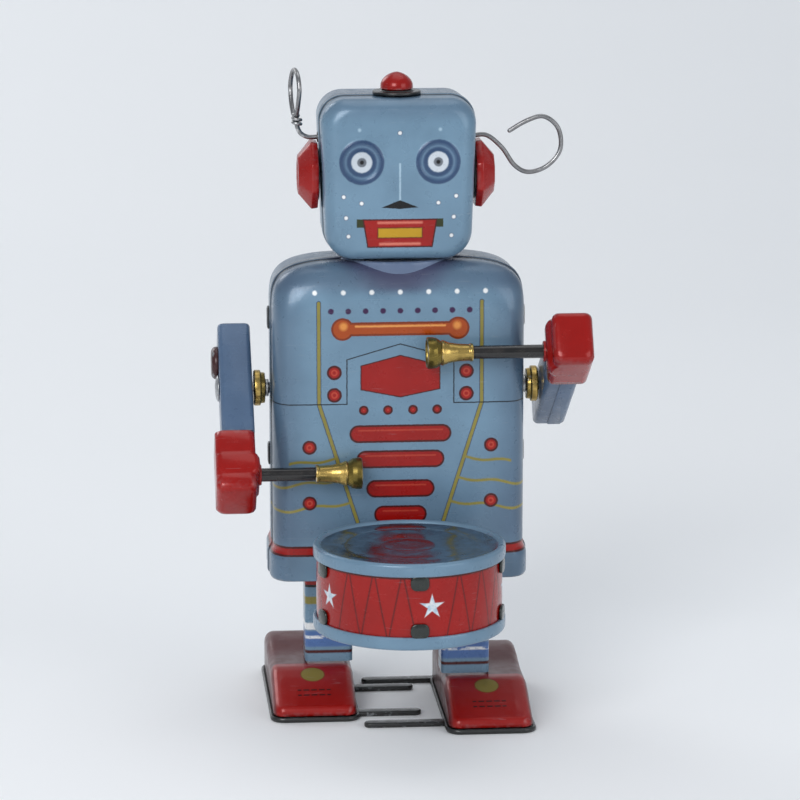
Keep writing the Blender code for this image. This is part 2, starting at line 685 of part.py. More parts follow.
def build_sole(side, carrier):
    """Flat sole plate with two prongs that reach across under the other foot."""
    sign = side_sign(side)
    floor = -CRANK_Z
    toe = -SHOE_TOE_AHEAD - SOLE_LIP
    heel = -SHOE_TOE_AHEAD + SHOE_LENGTH + SOLE_LIP
    xs = sorted((sign * (SHOE_INNER_X - SOLE_LIP), sign * (SHOE_INNER_X + SHOE_WIDTH + SOLE_LIP)))
    corner = SOLE_CORNER
    outline = [(xs[0] + corner, toe), (xs[1] - corner, toe), (xs[1], toe + corner),
               (xs[1], heel - corner), (xs[1] - corner, heel), (xs[0] + corner, heel),
               (xs[0], heel - corner), (xs[0], toe + corner)]
    sole = add_node(side + "_sole", prism(outline, floor, floor + SOLE_THICK), "black_steel", carrier)
    middle = (toe + heel) / 2
    half = PRONG_WIDTH / 2
    root_x = sign * (SHOE_INNER_X + 2.0)
    for place, tip in PRONGS[side]:
        y = middle + place
        neck = tip + sign * PRONG_NOSE
        prong = [(root_x, y - half), (neck, y - half), (tip, y), (neck, y + half), (root_x, y + half)]
        join(sole, prism(prong, floor + 0.001, floor + SOLE_THICK - 0.001))


# ---- clockwork -----------------------------------------------------------------------
def build_motor_frame(root):
    shoulder = PLATE_SHOULDER
    outline = [(-TONGUE_HALF_WIDTH, PLATE_BOTTOM), (TONGUE_HALF_WIDTH, PLATE_BOTTOM),
               (TONGUE_HALF_WIDTH, shoulder), (PLATE_HALF_WIDTH, shoulder),
               (PLATE_HALF_WIDTH, PLATE_TOP - 3), (PLATE_HALF_WIDTH - 3, PLATE_TOP),
               (-PLATE_HALF_WIDTH + 3, PLATE_TOP), (-PLATE_HALF_WIDTH, PLATE_TOP - 3),
               (-PLATE_HALF_WIDTH, shoulder), (-TONGUE_HALF_WIDTH, shoulder)]
    holes = {"motor_front_plate": ((ARBOR_Z, ARBOR_RADIUS), (ESCAPE_Z, SHAFT_RADIUS), (PALLET_Z, 0.8)),
             "motor_back_plate": ((CRANK_Z, SHAFT_RADIUS), (ARBOR_Z, ARBOR_RADIUS),
                                  (ESCAPE_Z, SHAFT_RADIUS), (PALLET_Z, 0.8))}
    for name, low in (("motor_front_plate", -PLATE_Y - PLATE_THICK), ("motor_back_plate", PLATE_Y)):
        plate_bm = prism([(x, -z) for x, z in outline], low, low + PLATE_THICK, ALONG_Y)
        plate = add_node(name, plate_bm, "brass", root)
        for height, radius in holes[name]:
            cut(plate, rod(radius + SHAFT_FIT, low - 1, low + 2, ALONG_Y, (0, 0, height), 12))
    for number, (x, z) in enumerate(PILLARS, 1):
        pillar = rod(PILLAR_RADIUS, -PLATE_Y + 0.3, PLATE_Y - 0.3, ALONG_Y, (x, 0, z), 10)
        add_node("motor_pillar_" + str(number), pillar, "steel", root)
    for side in ("right", "left"):
        sign = side_sign(side)
        xs = sorted((sign * 3.0, sign * 3.6))
        bearing = add_node(side + "_crank_bearing",
                           box((xs[0], -PLATE_Y + 0.3, CRANK_Z - 3.5), (xs[1], 2.0, CRANK_Z + 3.5)),
                           "brass", root)
        cut(bearing, rod(SHAFT_RADIUS + 0.32, xs[0] - 1, xs[1] + 1, ALONG_X, (0, 0, CRANK_Z), 12))


def build_mainspring(root):
    """Flat spiral strip between the arbor and the outer coil."""
    turns, steps = 3.5, 16
    inner, outer, strip = 3.2, 8.4, 0.4
    count = int(turns * steps)
    inside, outside = [], []
    for index in range(count + 1):
        angle = 2 * math.pi * index / steps
        radius = inner + (outer - inner) * index / count
        direction = Vector((math.cos(angle), math.sin(angle)))
        inside.append(tuple(direction * radius))
        outside.append(tuple(direction * (radius + strip)))
    outline = outside + list(reversed(inside))
    add_node("mainspring", prism(outline, -6.0, 2.5, ALONG_Y, (0, 0, ARBOR_Z)), "blued_steel", root)


def gear_disc(teeth, phase, span, hole):
    """A toothed disc about the Y axis, and the rod that cuts its centre hole."""
    outline = gear_outline(teeth, phase)
    return prism(outline, *span, ALONG_Y), rod(hole, span[0] - 1, span[1] + 1, ALONG_Y, count=12)


def build_winding(arbor):
    """Arbor, great wheel and key; the parent empty is on the arbor's axis."""
    add_node("winding_arbor", rod(ARBOR_RADIUS, -9.8, 20.0, ALONG_Y, count=16), "steel", arbor)
    wheel_bm, hole = gear_disc(GREAT_TEETH, 0.0, GEAR_Y, ARBOR_RADIUS + SHAFT_FIT)
    cut(add_node("great_wheel", wheel_bm, "brass", arbor), hole)
    hub = ring(ARBOR_RADIUS + SHAFT_FIT, 3.0, 15.0, 22.0, ALONG_Y, count=16)
    key = add_node("winding_key", hub, "steel", arbor)
    wing = []
    for step in range(36):
        angle = 2 * math.pi * step / 36
        reach = 4.2 + 7.6 * abs(math.cos(angle)) ** 1.2
        wing.append((reach * math.cos(angle), KEY_BACK - 5.9 + 5.9 * math.sin(angle)))
    join(key, prism(wing, -0.8, 0.8))
    for sign in (-1, 1):
        cut(key, rod(2.3, -2, 2, ALONG_Z, (sign * 7.2, KEY_BACK - 5.9, 0), 12))
    cut(key, rod(ARBOR_RADIUS + SHAFT_FIT, 14, 20.4, ALONG_Y, count=16))


def build_walk_shaft(axle):
    """Second shaft: spur gear driven by the great wheel, and the crown-shaped contrate wheel."""
    add_node("walk_shaft", rod(SHAFT_RADIUS, 2.9, 9.8, ALONG_Y, count=12), "steel", axle)
    gear_bm, hole = gear_disc(WALK_TEETH, math.pi / WALK_TEETH, GEAR_Y, SHAFT_RADIUS + SHAFT_FIT)
    cut(add_node("walk_gear", gear_bm, "brass", axle), hole)
    build_contrate(axle)


def build_contrate(axle):
    """Crown of teeth that stand forward from a thin disc."""
    pitch_radius = MODULE * CONTRATE_TEETH / 2
    root_y = MODULE * CRANK_PINION_TEETH / 2 + 1.1 * MODULE
    pitch_y = root_y - 1.1 * MODULE
    tip_y = pitch_y - 0.7 * MODULE
    disc_radius = pitch_radius + 0.8
    disc = rod(disc_radius, root_y, root_y + 0.8, ALONG_Y, count=32)
    wheel = add_node("contrate_wheel", disc, "brass", axle)
    teeth = bmesh.new()
    tooth_pitch = math.pi * MODULE
    for number in range(CONTRATE_TEETH):
        turn = Matrix.Rotation(2 * math.pi * number / CONTRATE_TEETH, 4, "Y")
        section = ((root_y + 0.4, 0.27), (pitch_y, 0.17), (tip_y, 0.09), (tip_y, -0.09),
                   (pitch_y, -0.17), (root_y + 0.4, -0.27))
        loops = []
        for radius in (pitch_radius - 0.7, pitch_radius + 0.7):
            points = [turn @ Vector((radius, y, aside * tooth_pitch)) for y, aside in section]
            loops.append([teeth.verts.new(point) for point in points])
        count = len(section)
        for index in range(count):
            after = (index + 1) % count
            teeth.faces.new((loops[0][index], loops[0][after], loops[1][after], loops[1][index]))
        teeth.faces.new(loops[0])
        teeth.faces.new(loops[1])
    join(wheel, teeth)
    cut(wheel, rod(SHAFT_RADIUS + SHAFT_FIT, root_y - 1, root_y + 2, ALONG_Y, count=12))


def build_crankshaft(axle):
    """Cross shaft with its pinion cut on it, and the two crank arms with their pins."""
    shaft = add_node("crankshaft", rod(SHAFT_RADIUS, -7.9, 7.9, ALONG_X, count=12), "steel", axle)
    pitch_radius = MODULE * CONTRATE_TEETH / 2
    outline = gear_outline(CRANK_PINION_TEETH, math.pi / CRANK_PINION_TEETH)
    join(shaft, prism(outline, pitch_radius - 0.6, pitch_radius + 0.6, ALONG_X))
    for side, pin_y in (("right", CRANK_RADIUS), ("left", -CRANK_RADIUS)):
        sign = side_sign(side)
        low, high = sorted((sign * CRANK_ARM_X, sign * (CRANK_ARM_X + CRANK_ARM_THICK)))
        arm = add_node(side + "_crank_arm", prism(capsule(pin_y, 1.9), low, high, ALONG_X), "steel", axle)
        pin_low, pin_high = sorted((sign * (CRANK_ARM_X + 0.3), sign * 11.2))
        join(arm, rod(PIN_RADIUS, pin_low, pin_high, ALONG_X, (0, pin_y, 0), 12))
        cut(arm, rod(SHAFT_RADIUS + SHAFT_FIT, low - 1, high + 1, ALONG_X, count=12))


def capsule(pin_y, radius, steps=6):
    """Rounded bar outline from the shaft to the pin, in the prism's own plane."""
    sign = 1 if pin_y > 0 else -1
    points = []
    for centre, start in ((pin_y, 0.0), (0.0, 180.0)):
        for step in range(steps + 1):
            angle = math.radians(start + 180.0 * step / steps)
            points.append((radius * math.cos(angle), centre + sign * radius * math.sin(angle)))
    return points


def build_escape(axle):
    """Escape shaft with its pinion cut on it, and the pointed escape wheel."""
    shaft = add_node("escape_shaft", rod(SHAFT_RADIUS, -9.8, 9.8, ALONG_Y, count=12), "steel", axle)
    outline = gear_outline(ESCAPE_PINION_TEETH, math.pi / ESCAPE_PINION_TEETH)
    join(shaft, prism(outline, GEAR_Y[0], GEAR_Y[1], ALONG_Y))
    wheel_bm = prism(star_outline(15, 4.4, 6.0, 0.35), ESCAPE_Y[0], ESCAPE_Y[1], ALONG_Y)
    wheel = add_node("escape_wheel", wheel_bm, "brass", axle)
    cut(wheel, rod(SHAFT_RADIUS + SHAFT_FIT, ESCAPE_Y[0] - 1, ESCAPE_Y[1] + 1, ALONG_Y, count=12))


def build_pallet(staff):
    """Anchor that rocks over the escape wheel; the parent empty is on its staff."""
    add_node("pallet_staff", rod(0.8, -9.8, 9.8, ALONG_Y, count=10), "steel", staff)
    drop = PALLET_Z - ESCAPE_Z
    inner, outer, half_span = 7.2, 8.6, 50
    arc = []
    for radius, direction in ((outer, 1), (inner, -1)):
        for step in range(9):
            angle = math.radians(90 + direction * half_span * (1 - step / 4))
            arc.append((radius * math.cos(angle), -(radius * math.sin(angle) - drop)))
    anchor = add_node("pallet_anchor", prism(arc, ESCAPE_Y[0], ESCAPE_Y[1], ALONG_Y), "steel", staff)
    join(anchor, rod(2.0, ESCAPE_Y[0] - 0.4, ESCAPE_Y[1] + 0.4, ALONG_Y, count=12))
    cut(anchor, rod(0.8 + SHAFT_FIT, ESCAPE_Y[0] - 2, ESCAPE_Y[1] + 2, ALONG_Y, count=10))


# ---- assembly ------------------------------------------------------------------------
def build_robot():
    root = make_empty("robot_root", (0, Y_SHIFT, 0))
    build_torso(root)
    build_bottom_plate(root)
    build_head(root)
    build_collar(root)
    build_lamp(root)
    for side, route in (("right", RIGHT_ANTENNA), ("left", LEFT_ANTENNA)):
        build_ear(side, root)
        build_antenna(side, route, root)
    build_drum(root)
    for side, angle in (("right", RIGHT_ARM_ANGLE), ("left", LEFT_ARM_ANGLE)):
        shoulder = make_empty(side + "_shoulder_axis", (0, 0, SHOULDER_Z), root, -angle)
        build_channel(side, shoulder)
        build_hand(side, shoulder)
        build_shoulder(side, shoulder)
    crank = make_empty("crank_axis", (0, 0, CRANK_Z), root)
    build_crankshaft(crank)
    for side, pin_y in (("right", CRANK_RADIUS), ("left", -CRANK_RADIUS)):
        carrier = make_empty(side + "_crank_pin_axis", (0, pin_y, CRANK_Z), root)
        build_leg(side, carrier)
        build_shoe(side, carrier)
        build_sole(side, carrier)
    build_motor_frame(root)
    build_mainspring(root)
    build_winding(make_empty("arbor_axis", (0, 0, ARBOR_Z), root))
    build_walk_shaft(make_empty("walk_shaft_axis", (0, 0, CRANK_Z), root))
    build_escape(make_empty("escape_axis", (0, 0, ESCAPE_Z), root))
    build_pallet(make_empty("pallet_axis", (0, 0, PALLET_Z), root))


clear_scene()
MATERIALS = {slot: make_material(slot) for slot in PALETTE}
build_robot()
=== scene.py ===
"""Looks of the tin wind-up drumming robot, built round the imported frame.

The robot faces -Y and its right side is at -X. Pieces are modelled in millimetres in a
local frame (a Place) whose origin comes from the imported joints; MM turns them into metres.
"""
import functools
import json
import math

import bmesh
import bpy
from mathutils import Matrix, Vector, noise

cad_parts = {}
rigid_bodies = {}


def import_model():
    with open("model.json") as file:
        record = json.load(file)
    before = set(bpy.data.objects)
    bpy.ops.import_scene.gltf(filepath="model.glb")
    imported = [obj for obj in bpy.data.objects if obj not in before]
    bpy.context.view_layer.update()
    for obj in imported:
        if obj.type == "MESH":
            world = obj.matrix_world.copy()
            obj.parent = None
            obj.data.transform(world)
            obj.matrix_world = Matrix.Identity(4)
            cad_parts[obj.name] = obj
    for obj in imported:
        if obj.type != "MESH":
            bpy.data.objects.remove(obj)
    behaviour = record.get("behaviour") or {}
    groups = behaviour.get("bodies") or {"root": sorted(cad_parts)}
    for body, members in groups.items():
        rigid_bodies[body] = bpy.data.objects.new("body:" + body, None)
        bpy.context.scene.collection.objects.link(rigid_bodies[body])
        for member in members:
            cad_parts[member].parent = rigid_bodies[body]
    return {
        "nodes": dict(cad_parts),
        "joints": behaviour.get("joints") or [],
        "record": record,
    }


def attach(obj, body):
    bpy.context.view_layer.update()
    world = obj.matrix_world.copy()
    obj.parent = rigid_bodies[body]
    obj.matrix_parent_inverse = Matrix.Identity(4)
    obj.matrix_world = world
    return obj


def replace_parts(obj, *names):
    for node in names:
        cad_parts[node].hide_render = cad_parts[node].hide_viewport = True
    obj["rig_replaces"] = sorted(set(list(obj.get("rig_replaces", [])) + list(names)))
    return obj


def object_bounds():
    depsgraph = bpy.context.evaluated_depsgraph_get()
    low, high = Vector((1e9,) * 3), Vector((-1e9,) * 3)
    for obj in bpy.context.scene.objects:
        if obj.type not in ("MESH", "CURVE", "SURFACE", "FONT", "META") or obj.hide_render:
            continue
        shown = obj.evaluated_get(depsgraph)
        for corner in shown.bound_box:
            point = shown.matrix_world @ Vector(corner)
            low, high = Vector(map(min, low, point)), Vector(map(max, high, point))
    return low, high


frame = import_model()
cad_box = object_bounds()

MM = 0.001
JOINTS = {joint["name"]: joint for joint in frame["joints"]}
SIDES = {"right": -1, "left": 1}

TIN = 0.35               # sheet thickness of the visible shells
WELD = 1e-4              # mesh points closer than this become one
SHOULDER_POWER = 4.4     # exponent of the shoulder arch
ARCH_RISE = 13.3         # height of the shoulder arch
SKIRT_STEP = 0.8         # how far the skirt stands out past the torso side
PIN_HOLE = 1.6           # radius of the holes round the shoulder rivets and crank pins
ARBOR_HOLE = 2.1         # radius of the hole round the key's arbor
SIDE_TAB_HEIGHTS = (57.0, 87.0)
BOSS_Z = 6.8             # the boss's place along the arm, from the shoulder to the tail
BOSS_RADIUS = 3.6
WIRE_RADIUS = 0.5
STAR_TURN = 9.0          # degrees round the drum from its front to the first star
STAR_REACH = 2.7         # from a star's middle to its tips
STAR_WIDTH = 0.78        # half of a ray's width at the star's middle
REST_ANGLE = {"right": 47.0, "left": 121.0}   # each arm, forward of hanging


# ---- places --------------------------------------------------------------------------
class Place:
    """A local frame of the robot, with its origin in world millimetres."""

    def __init__(self, origin, turn=0.0):
        turned = Matrix.Rotation(math.radians(turn), 4, "X")
        self.matrix = Matrix.Translation(Vector(origin) * MM) @ turned

    def box(self, node):
        """Lowest and highest corners of a CAD node, in this place's millimetres."""
        back = self.matrix.inverted()
        points = [back @ vert.co / MM for vert in frame["nodes"][node].data.vertices]
        low = Vector([min(point[axis] for point in points) for axis in range(3)])
        high = Vector([max(point[axis] for point in points) for axis in range(3)])
        return low, high


def joint_place(joint, turn=0.0):
    return Place([value / MM for value in JOINTS[joint]["pos_m"]], turn)


CRANK_AXIS = Vector(JOINTS["crankshaft_turn"]["pos_m"]) / MM
ROBOT = Place((0, CRANK_AXIS.y, 0))
DRUM_LOW, DRUM_HIGH = ROBOT.box("drum_shell")
DRUM = Place((0, CRANK_AXIS.y + (DRUM_LOW.y + DRUM_HIGH.y) / 2, 0))
SHOULDER = {side: joint_place(side + "_arm_swing", -REST_ANGLE[side]) for side in SIDES}
FOOT = {side: Place((0, JOINTS[side + "_leg_carry"]["pos_m"][1] / MM, 0)) for side in SIDES}
KEY = joint_place("winding_turn")
TORSO_LOW, TORSO_HIGH = ROBOT.box("body_front_shell")
HEAD_LOW, HEAD_HIGH = ROBOT.box("head_front_shell")

ALONG_X = Matrix.Rotation(math.radians(90), 4, "Y")
ALONG_Y = Matrix.Rotation(math.radians(-90), 4, "X")
ALONG_Z = Matrix.Identity(4)


# ---- material graphs -----------------------------------------------------------------
def operator(operation, swapped=False):
    """A method of Value that adds one math node."""
    def method(self, *others):
        values = (*others, self) if swapped else (self, *others)
        return self.graph.math(operation, *values)
    return method


class Value:
    """A node output that adds, multiplies and so on like a number."""

    def __init__(self, graph, socket):
        self.graph = graph
        self.socket = socket

    __add__ = __radd__ = operator("ADD")
    __sub__ = operator("SUBTRACT")
    __rsub__ = operator("SUBTRACT", swapped=True)
    __mul__ = __rmul__ = operator("MULTIPLY")
    __truediv__ = operator("DIVIDE")
    __abs__ = operator("ABSOLUTE")
    least = operator("MINIMUM")
    most = operator("MAXIMUM")
    root = operator("SQRT")
    sine = operator("SINE")

    def fold(self, pitch):
        """Distance from the nearest whole multiple of pitch, with its sign."""
        return self.graph.math("WRAP", self, pitch / 2, -pitch / 2)

    def ramp(self, start, end, low=0.0, high=1.0):
        return self.graph.ramp(self, start, end, low, high)


class Graph:
    """Shorthand for one procedural material built on the Principled shader."""

    def __init__(self, name):
        self.material = bpy.data.materials.new(name)
        self.material.use_nodes = True
        self.tree = self.material.node_tree
        self.shader = self.tree.nodes["Principled BSDF"]
        scaled = self.node("VectorMath", operation="SCALE")
        scaled.inputs["Scale"].default_value = 1 / MM
        self.tree.links.new(self.node("TexCoord").outputs["Object"], scaled.inputs[0])
        self.point = Value(self, scaled.outputs[0])
        split = self.node("SeparateXYZ", self.point)
        self.x, self.y, self.z = (Value(self, output) for output in split.outputs)

    def node(self, kind, *values, **settings):
        """A new node with its settings made and its first inputs fed."""
        node = self.tree.nodes.new("ShaderNode" + kind)
        for name, value in settings.items():
            setattr(node, name, value)
        for value, socket in zip(values, node.inputs):
            self.feed(value, socket)
        return node

    def feed(self, value, socket):
        if isinstance(value, Value):
            self.tree.links.new(value.socket, socket)
        else:
            socket.default_value = value

    def math(self, operation, *values, clamp=False):
        node = self.node("Math", *values, operation=operation, use_clamp=clamp)
        return Value(self, node.outputs[0])

    def ramp(self, value, start, end, low=0.0, high=1.0):
        node = self.node("MapRange", value, start, end, low, high, interpolation_type="SMOOTHSTEP")
        return Value(self, node.outputs[0])

    def mix(self, factor, first, second, blend="MIX"):
        node = self.node("Mix", factor, data_type="RGBA", blend_type=blend)
        self.feed(first, node.inputs[6])
        self.feed(second, node.inputs[7])
        return Value(self, node.outputs[2])

    def stretch(self, *scales):
        """The point scaled differently along each axis."""
        node = self.node("VectorMath", self.point, scales, operation="MULTIPLY")
        return Value(self, node.outputs[0])

    def noise(self, scale, detail=3.0, vector=None, distortion=0.0):
        node = self.node("TexNoise", vector or self.point)
        for name, value in (("Scale", scale), ("Detail", detail), ("Distortion", distortion)):
            node.inputs[name].default_value = value
        return Value(self, node.outputs["Fac"])

    def convexity(self):
        """High on sharp outer edges and low in folds."""
        return Value(self, self.node("NewGeometry").outputs["Pointiness"])

    def bump(self, height):
        """height is in millimetres."""
        node = self.node("Bump")
        node.inputs["Distance"].default_value = MM
        self.feed(height, node.inputs["Height"])
        self.tree.links.new(node.outputs[0], self.shader.inputs["Normal"])

    def put(self, **values):
        for name, value in values.items():
            self.feed(value, self.shader.inputs[name.replace("_", " ").title().replace("Ior", "IOR")])


def rgb(red, green, blue):
    """An sRGB colour from 0 to 255, as linear RGBA."""
    linear = [((v / 255 + 0.055) / 1.055) ** 2.4 if v > 10 else v / 255 / 12.92
              for v in (red, green, blue)]
    return (*linear, 1.0)


LIGHT_BLUE = rgb(114, 145, 168)
DEEP_BLUE = rgb(44, 68, 104)
EYE_BLUE = rgb(70, 98, 128)
PALE_BLUE = rgb(168, 196, 214)
# Used for painted shade, and for the random mottle of the plain prints.
SHADE_BLUE = rgb(66, 82, 106)
COLLAR_BLUE = rgb(104, 120, 148)
# Colour of the painted shadow under the collar.
COLLAR_SHADOW_BLUE = rgb(72, 72, 100)
RED = rgb(156, 12, 5)
DARK_RED = rgb(72, 8, 8)
PINK = rgb(190, 66, 46)
MAROON = rgb(84, 6, 10)
YELLOW = rgb(142, 132, 62)
MOUTH_YELLOW = rgb(188, 146, 22)
ORANGE = rgb(172, 72, 14)
BROWN = rgb(126, 48, 10)
WHITE = rgb(238, 240, 240)
INK = rgb(9, 10, 14)
PURPLE = rgb(58, 24, 70)
GREEN = rgb(46, 54, 22)
TIN_GREY = rgb(168, 172, 176)
STAR_WHITE = rgb(222, 226, 230)
EYE_SHADE = rgb(52, 76, 110)
EYE_GLINT = rgb(104, 132, 158)
LIP_LIGHT = rgb(226, 132, 112)


class Print:
    """Layers of ink over a base colour; a distance is negative inside its mark."""

    def __init__(self, graph, base):
        self.graph = graph
        self.colour = base
        ragged = graph.noise(1.6, 2.0) * 0.16 - 0.08
        self.x = graph.x + ragged
        self.z = graph.z + ragged
        self.side = abs(self.x)

    def ink(self, colour, distance, soft=0.12):
        cover = self.graph.math("MULTIPLY_ADD", distance, -1 / soft, 0.5, clamp=True)
        self.colour = self.graph.mix(cover, self.colour, colour)


def disc(x, z, radius, at=(0.0, 0.0)):
    across = x - at[0]
    up = z - at[1]
    return (across * across + up * up).root() - radius


def block(x, z, half_x, half_z, at=(0.0, 0.0)):
    return (abs(x - at[0]) - half_x).most(abs(z - at[1]) - half_z)


def bar(x, z, half_length, radius, height):
    """Round-ended bar lying along x."""
    beyond = (abs(x) - (half_length - radius)).most(0.0)
    up = z - height
    return (beyond * beyond + up * up).root() - radius


def union(distances):
    """Distance from the nearest of several marks."""
    return functools.reduce(Value.least, distances)


def stroke(x, z, start, end, radius):
    """Straight line of ink from start to end."""
    run, rise = end[0] - start[0], end[1] - start[1]
    across = x - start[0]
    up = z - start[1]
    along = across.graph.math("MULTIPLY", across * run + up * rise, 1 / (run * run + rise * rise),
                              clamp=True)
    off_x = across - along * run
    off_z = up - along * rise
    return (off_x * off_x + off_z * off_z).root() - radius


def strokes(x, z, corners, radius):
    return union(stroke(x, z, start, end, radius) for start, end in zip(corners, corners[1:]))


def varnish(graph, colour, metal=0.12, gloss=0.26, wear=0.6, seam=None):
    """Varnished litho print on tin: mottling, scuffs, worn edges and slightly wavy sheet, with painted
    shade in folds and beside the seam.
    """
    mottle = graph.noise(0.11, 4.0)
    tint = graph.mix(mottle.ramp(0.25, 0.75, 0.0, 0.16), colour, rgb(60, 78, 100), "MULTIPLY")
    grain = graph.noise(9.0, 2.0)
    tint = graph.mix(grain.ramp(0.3, 0.75, 0.0, 0.10), tint, WHITE, "MULTIPLY")
    specks = graph.noise(2.1, 5.0).ramp(0.70, 0.74)
    tint = graph.mix(specks * 0.5, tint, rgb(70, 60, 50), "MULTIPLY")
    scuff = graph.noise(1.0, 4.0, graph.stretch(0.18, 0.5, 2.8), 0.6).ramp(0.66, 0.72)
    rubbed = graph.convexity().ramp(0.53, 0.60) * graph.noise(0.8, 5.0).ramp(0.42, 0.62)
    bare = (rubbed * wear).most(scuff * 0.12)
    if seam is not None:
        worn = graph.noise(0.5, 3.0).ramp(0.35, 0.6, 0.25, 0.95)
        bare = bare.most(seam.ramp(0.3, 0.7, 1.0, 0.0) * worn)
        # Painted shade: a dark band beside the seam's cut edge.
        seam_shade = seam.ramp(0.6, 0.9) * seam.ramp(1.3, 1.9, 0.85, 0.0)
        tint = graph.mix(seam_shade, tint, rgb(24, 28, 34))
    tint = graph.mix(bare, tint, TIN_GREY)
    # Painted shade: darker in folds and creases.
    crease_shade = graph.convexity().ramp(0.40, 0.485, 0.55, 0.0)
    tint = graph.mix(crease_shade, tint, rgb(30, 26, 24))
    rough = graph.noise(0.35, 5.0).ramp(0.3, 0.8, gloss, gloss + 0.14) + scuff * 0.15
    graph.put(base_color=tint, metallic=bare.ramp(0.0, 1.0, metal, 0.9), roughness=rough,
              coat_weight=0.22, coat_roughness=0.07, specular_ior_level=0.32)
    graph.bump(graph.noise(0.13, 2.0) * 0.10 + graph.noise(2.4, 2.0) * 0.006 - bare * 0.01)
    return graph.material


def metal(name, colour, tarnish, rough, brushed=(0.3, 0.3, 6.0), spots=0.35):
    """Plain metal with brushing along one axis and patchy tarnish, a painted highlight on sharp edges
    and painted shade in folds.
    """
    graph = Graph(name)
    streak = graph.noise(1.6, 4.0, graph.stretch(*brushed))
    patch = graph.noise(0.45, 5.0, distortion=0.4).ramp(0.42, 0.72)
    # Painted highlight on sharp outer edges, and painted shade in folds.
    edge = graph.convexity().ramp(0.52, 0.58)
    folds = graph.convexity().ramp(0.38, 0.48, 0.8, 0.0)
    tint = graph.mix(streak.ramp(0.3, 0.7, 0.0, 0.35), colour, tarnish)
    tint = graph.mix(patch * spots, tint, tarnish)
    tint = graph.mix(edge * 0.4, tint, WHITE, "SCREEN")
    tint = graph.mix(folds, tint, rgb(28, 24, 20))
    graph.put(base_color=tint, metallic=1.0,
              roughness=streak.ramp(0.2, 0.8, rough, rough + 0.12) + patch * 0.12)
    graph.bump(streak * 0.012 + graph.noise(1.1, 3.0) * 0.012)
    return graph.material


def enamel(name, colour, worn, gloss=0.25):
    """Black or coloured enamel on steel, chipped to metal along its edges."""
    graph = Graph(name)
    cloud = graph.noise(0.4, 4.0)
    chip = graph.convexity().ramp(0.55, 0.64) * graph.noise(1.3, 5.0).ramp(0.55, 0.66)
    tint = graph.mix(cloud.ramp(0.3, 0.7, 0.0, 0.5), colour, worn)
    tint = graph.mix(chip * 0.4, tint, TIN_GREY)
    graph.put(base_color=tint, metallic=chip * 0.4,
              roughness=cloud.ramp(0.25, 0.8, gloss, gloss + 0.2), coat_weight=0.4,
              coat_roughness=0.12)
    graph.bump(graph.noise(1.8, 3.0) * 0.01 + cloud * 0.04)
    return graph.material


def seam_distance(graph, plane):
    """Distance in millimetres from the cut edge of a shell that ends at the plane y = plane."""
    return abs(graph.y - plane)


# ---- printed artwork, with painted shade ---------------------------------------------
CHEST_LINE_X = 17.5
CHEST_LINE_FOOT_X = 9.3
CHEST_LINE_BEND_Z = 70.0
CHEST_LINE_FOOT_Z = 44.0
CHEST_DOTS_Z = 94.2
RIVETS_Z = 90.2
RIVET_PITCH = 3.72
DOT_PITCH = 6.1
BELT_Z = 37.6
# Each bar is (height, half length), and each ribbon (height, end, phase of its wave).
GRILLE_BARS = ((63.4, 11.0), (57.8, 9.5), (51.3, 7.4), (45.6, 5.7), (40.5, 5.0))
RIBBONS = ((58.0, 24.0, 0.3), (53.3, 28.5, 1.4), (47.9, 28.5, 2.6))
EYE_PLACE = (8.15, 122.1)
FACE_SPOTS = ((0.0, 128.3), (12.0, 114.7), (8.2, 113.3), (11.5, 110.2), (11.0, 106.2))


def ink_belt(work):
    work.ink(DARK_RED, abs(work.z - BELT_Z) - 1.15)
    work.ink(RED, abs(work.z - BELT_Z) - 0.7)


def ink_grille(work):
    """Five round-ended bars, each with a dark border and a light line inside."""
    side, z = work.side, work.z
    grille = union(bar(side, z, half_length, 1.95, height) for height, half_length in GRILLE_BARS)
    work.ink(DARK_RED, grille)
    work.ink(RED, grille + 0.42)
    for height, half_length in GRILLE_BARS:
        light = height + 0.75
        line = stroke(side, z, (0.0, light), (half_length - 2.0, light), 0.13)
        work.ink(PINK, line, 0.3)


def ink_stud(work, distance):
    work.ink(DARK_RED, distance)
    work.ink(RED, distance + 0.45)
    work.ink(PINK, abs(distance + 1.05) - 0.16, 0.25)


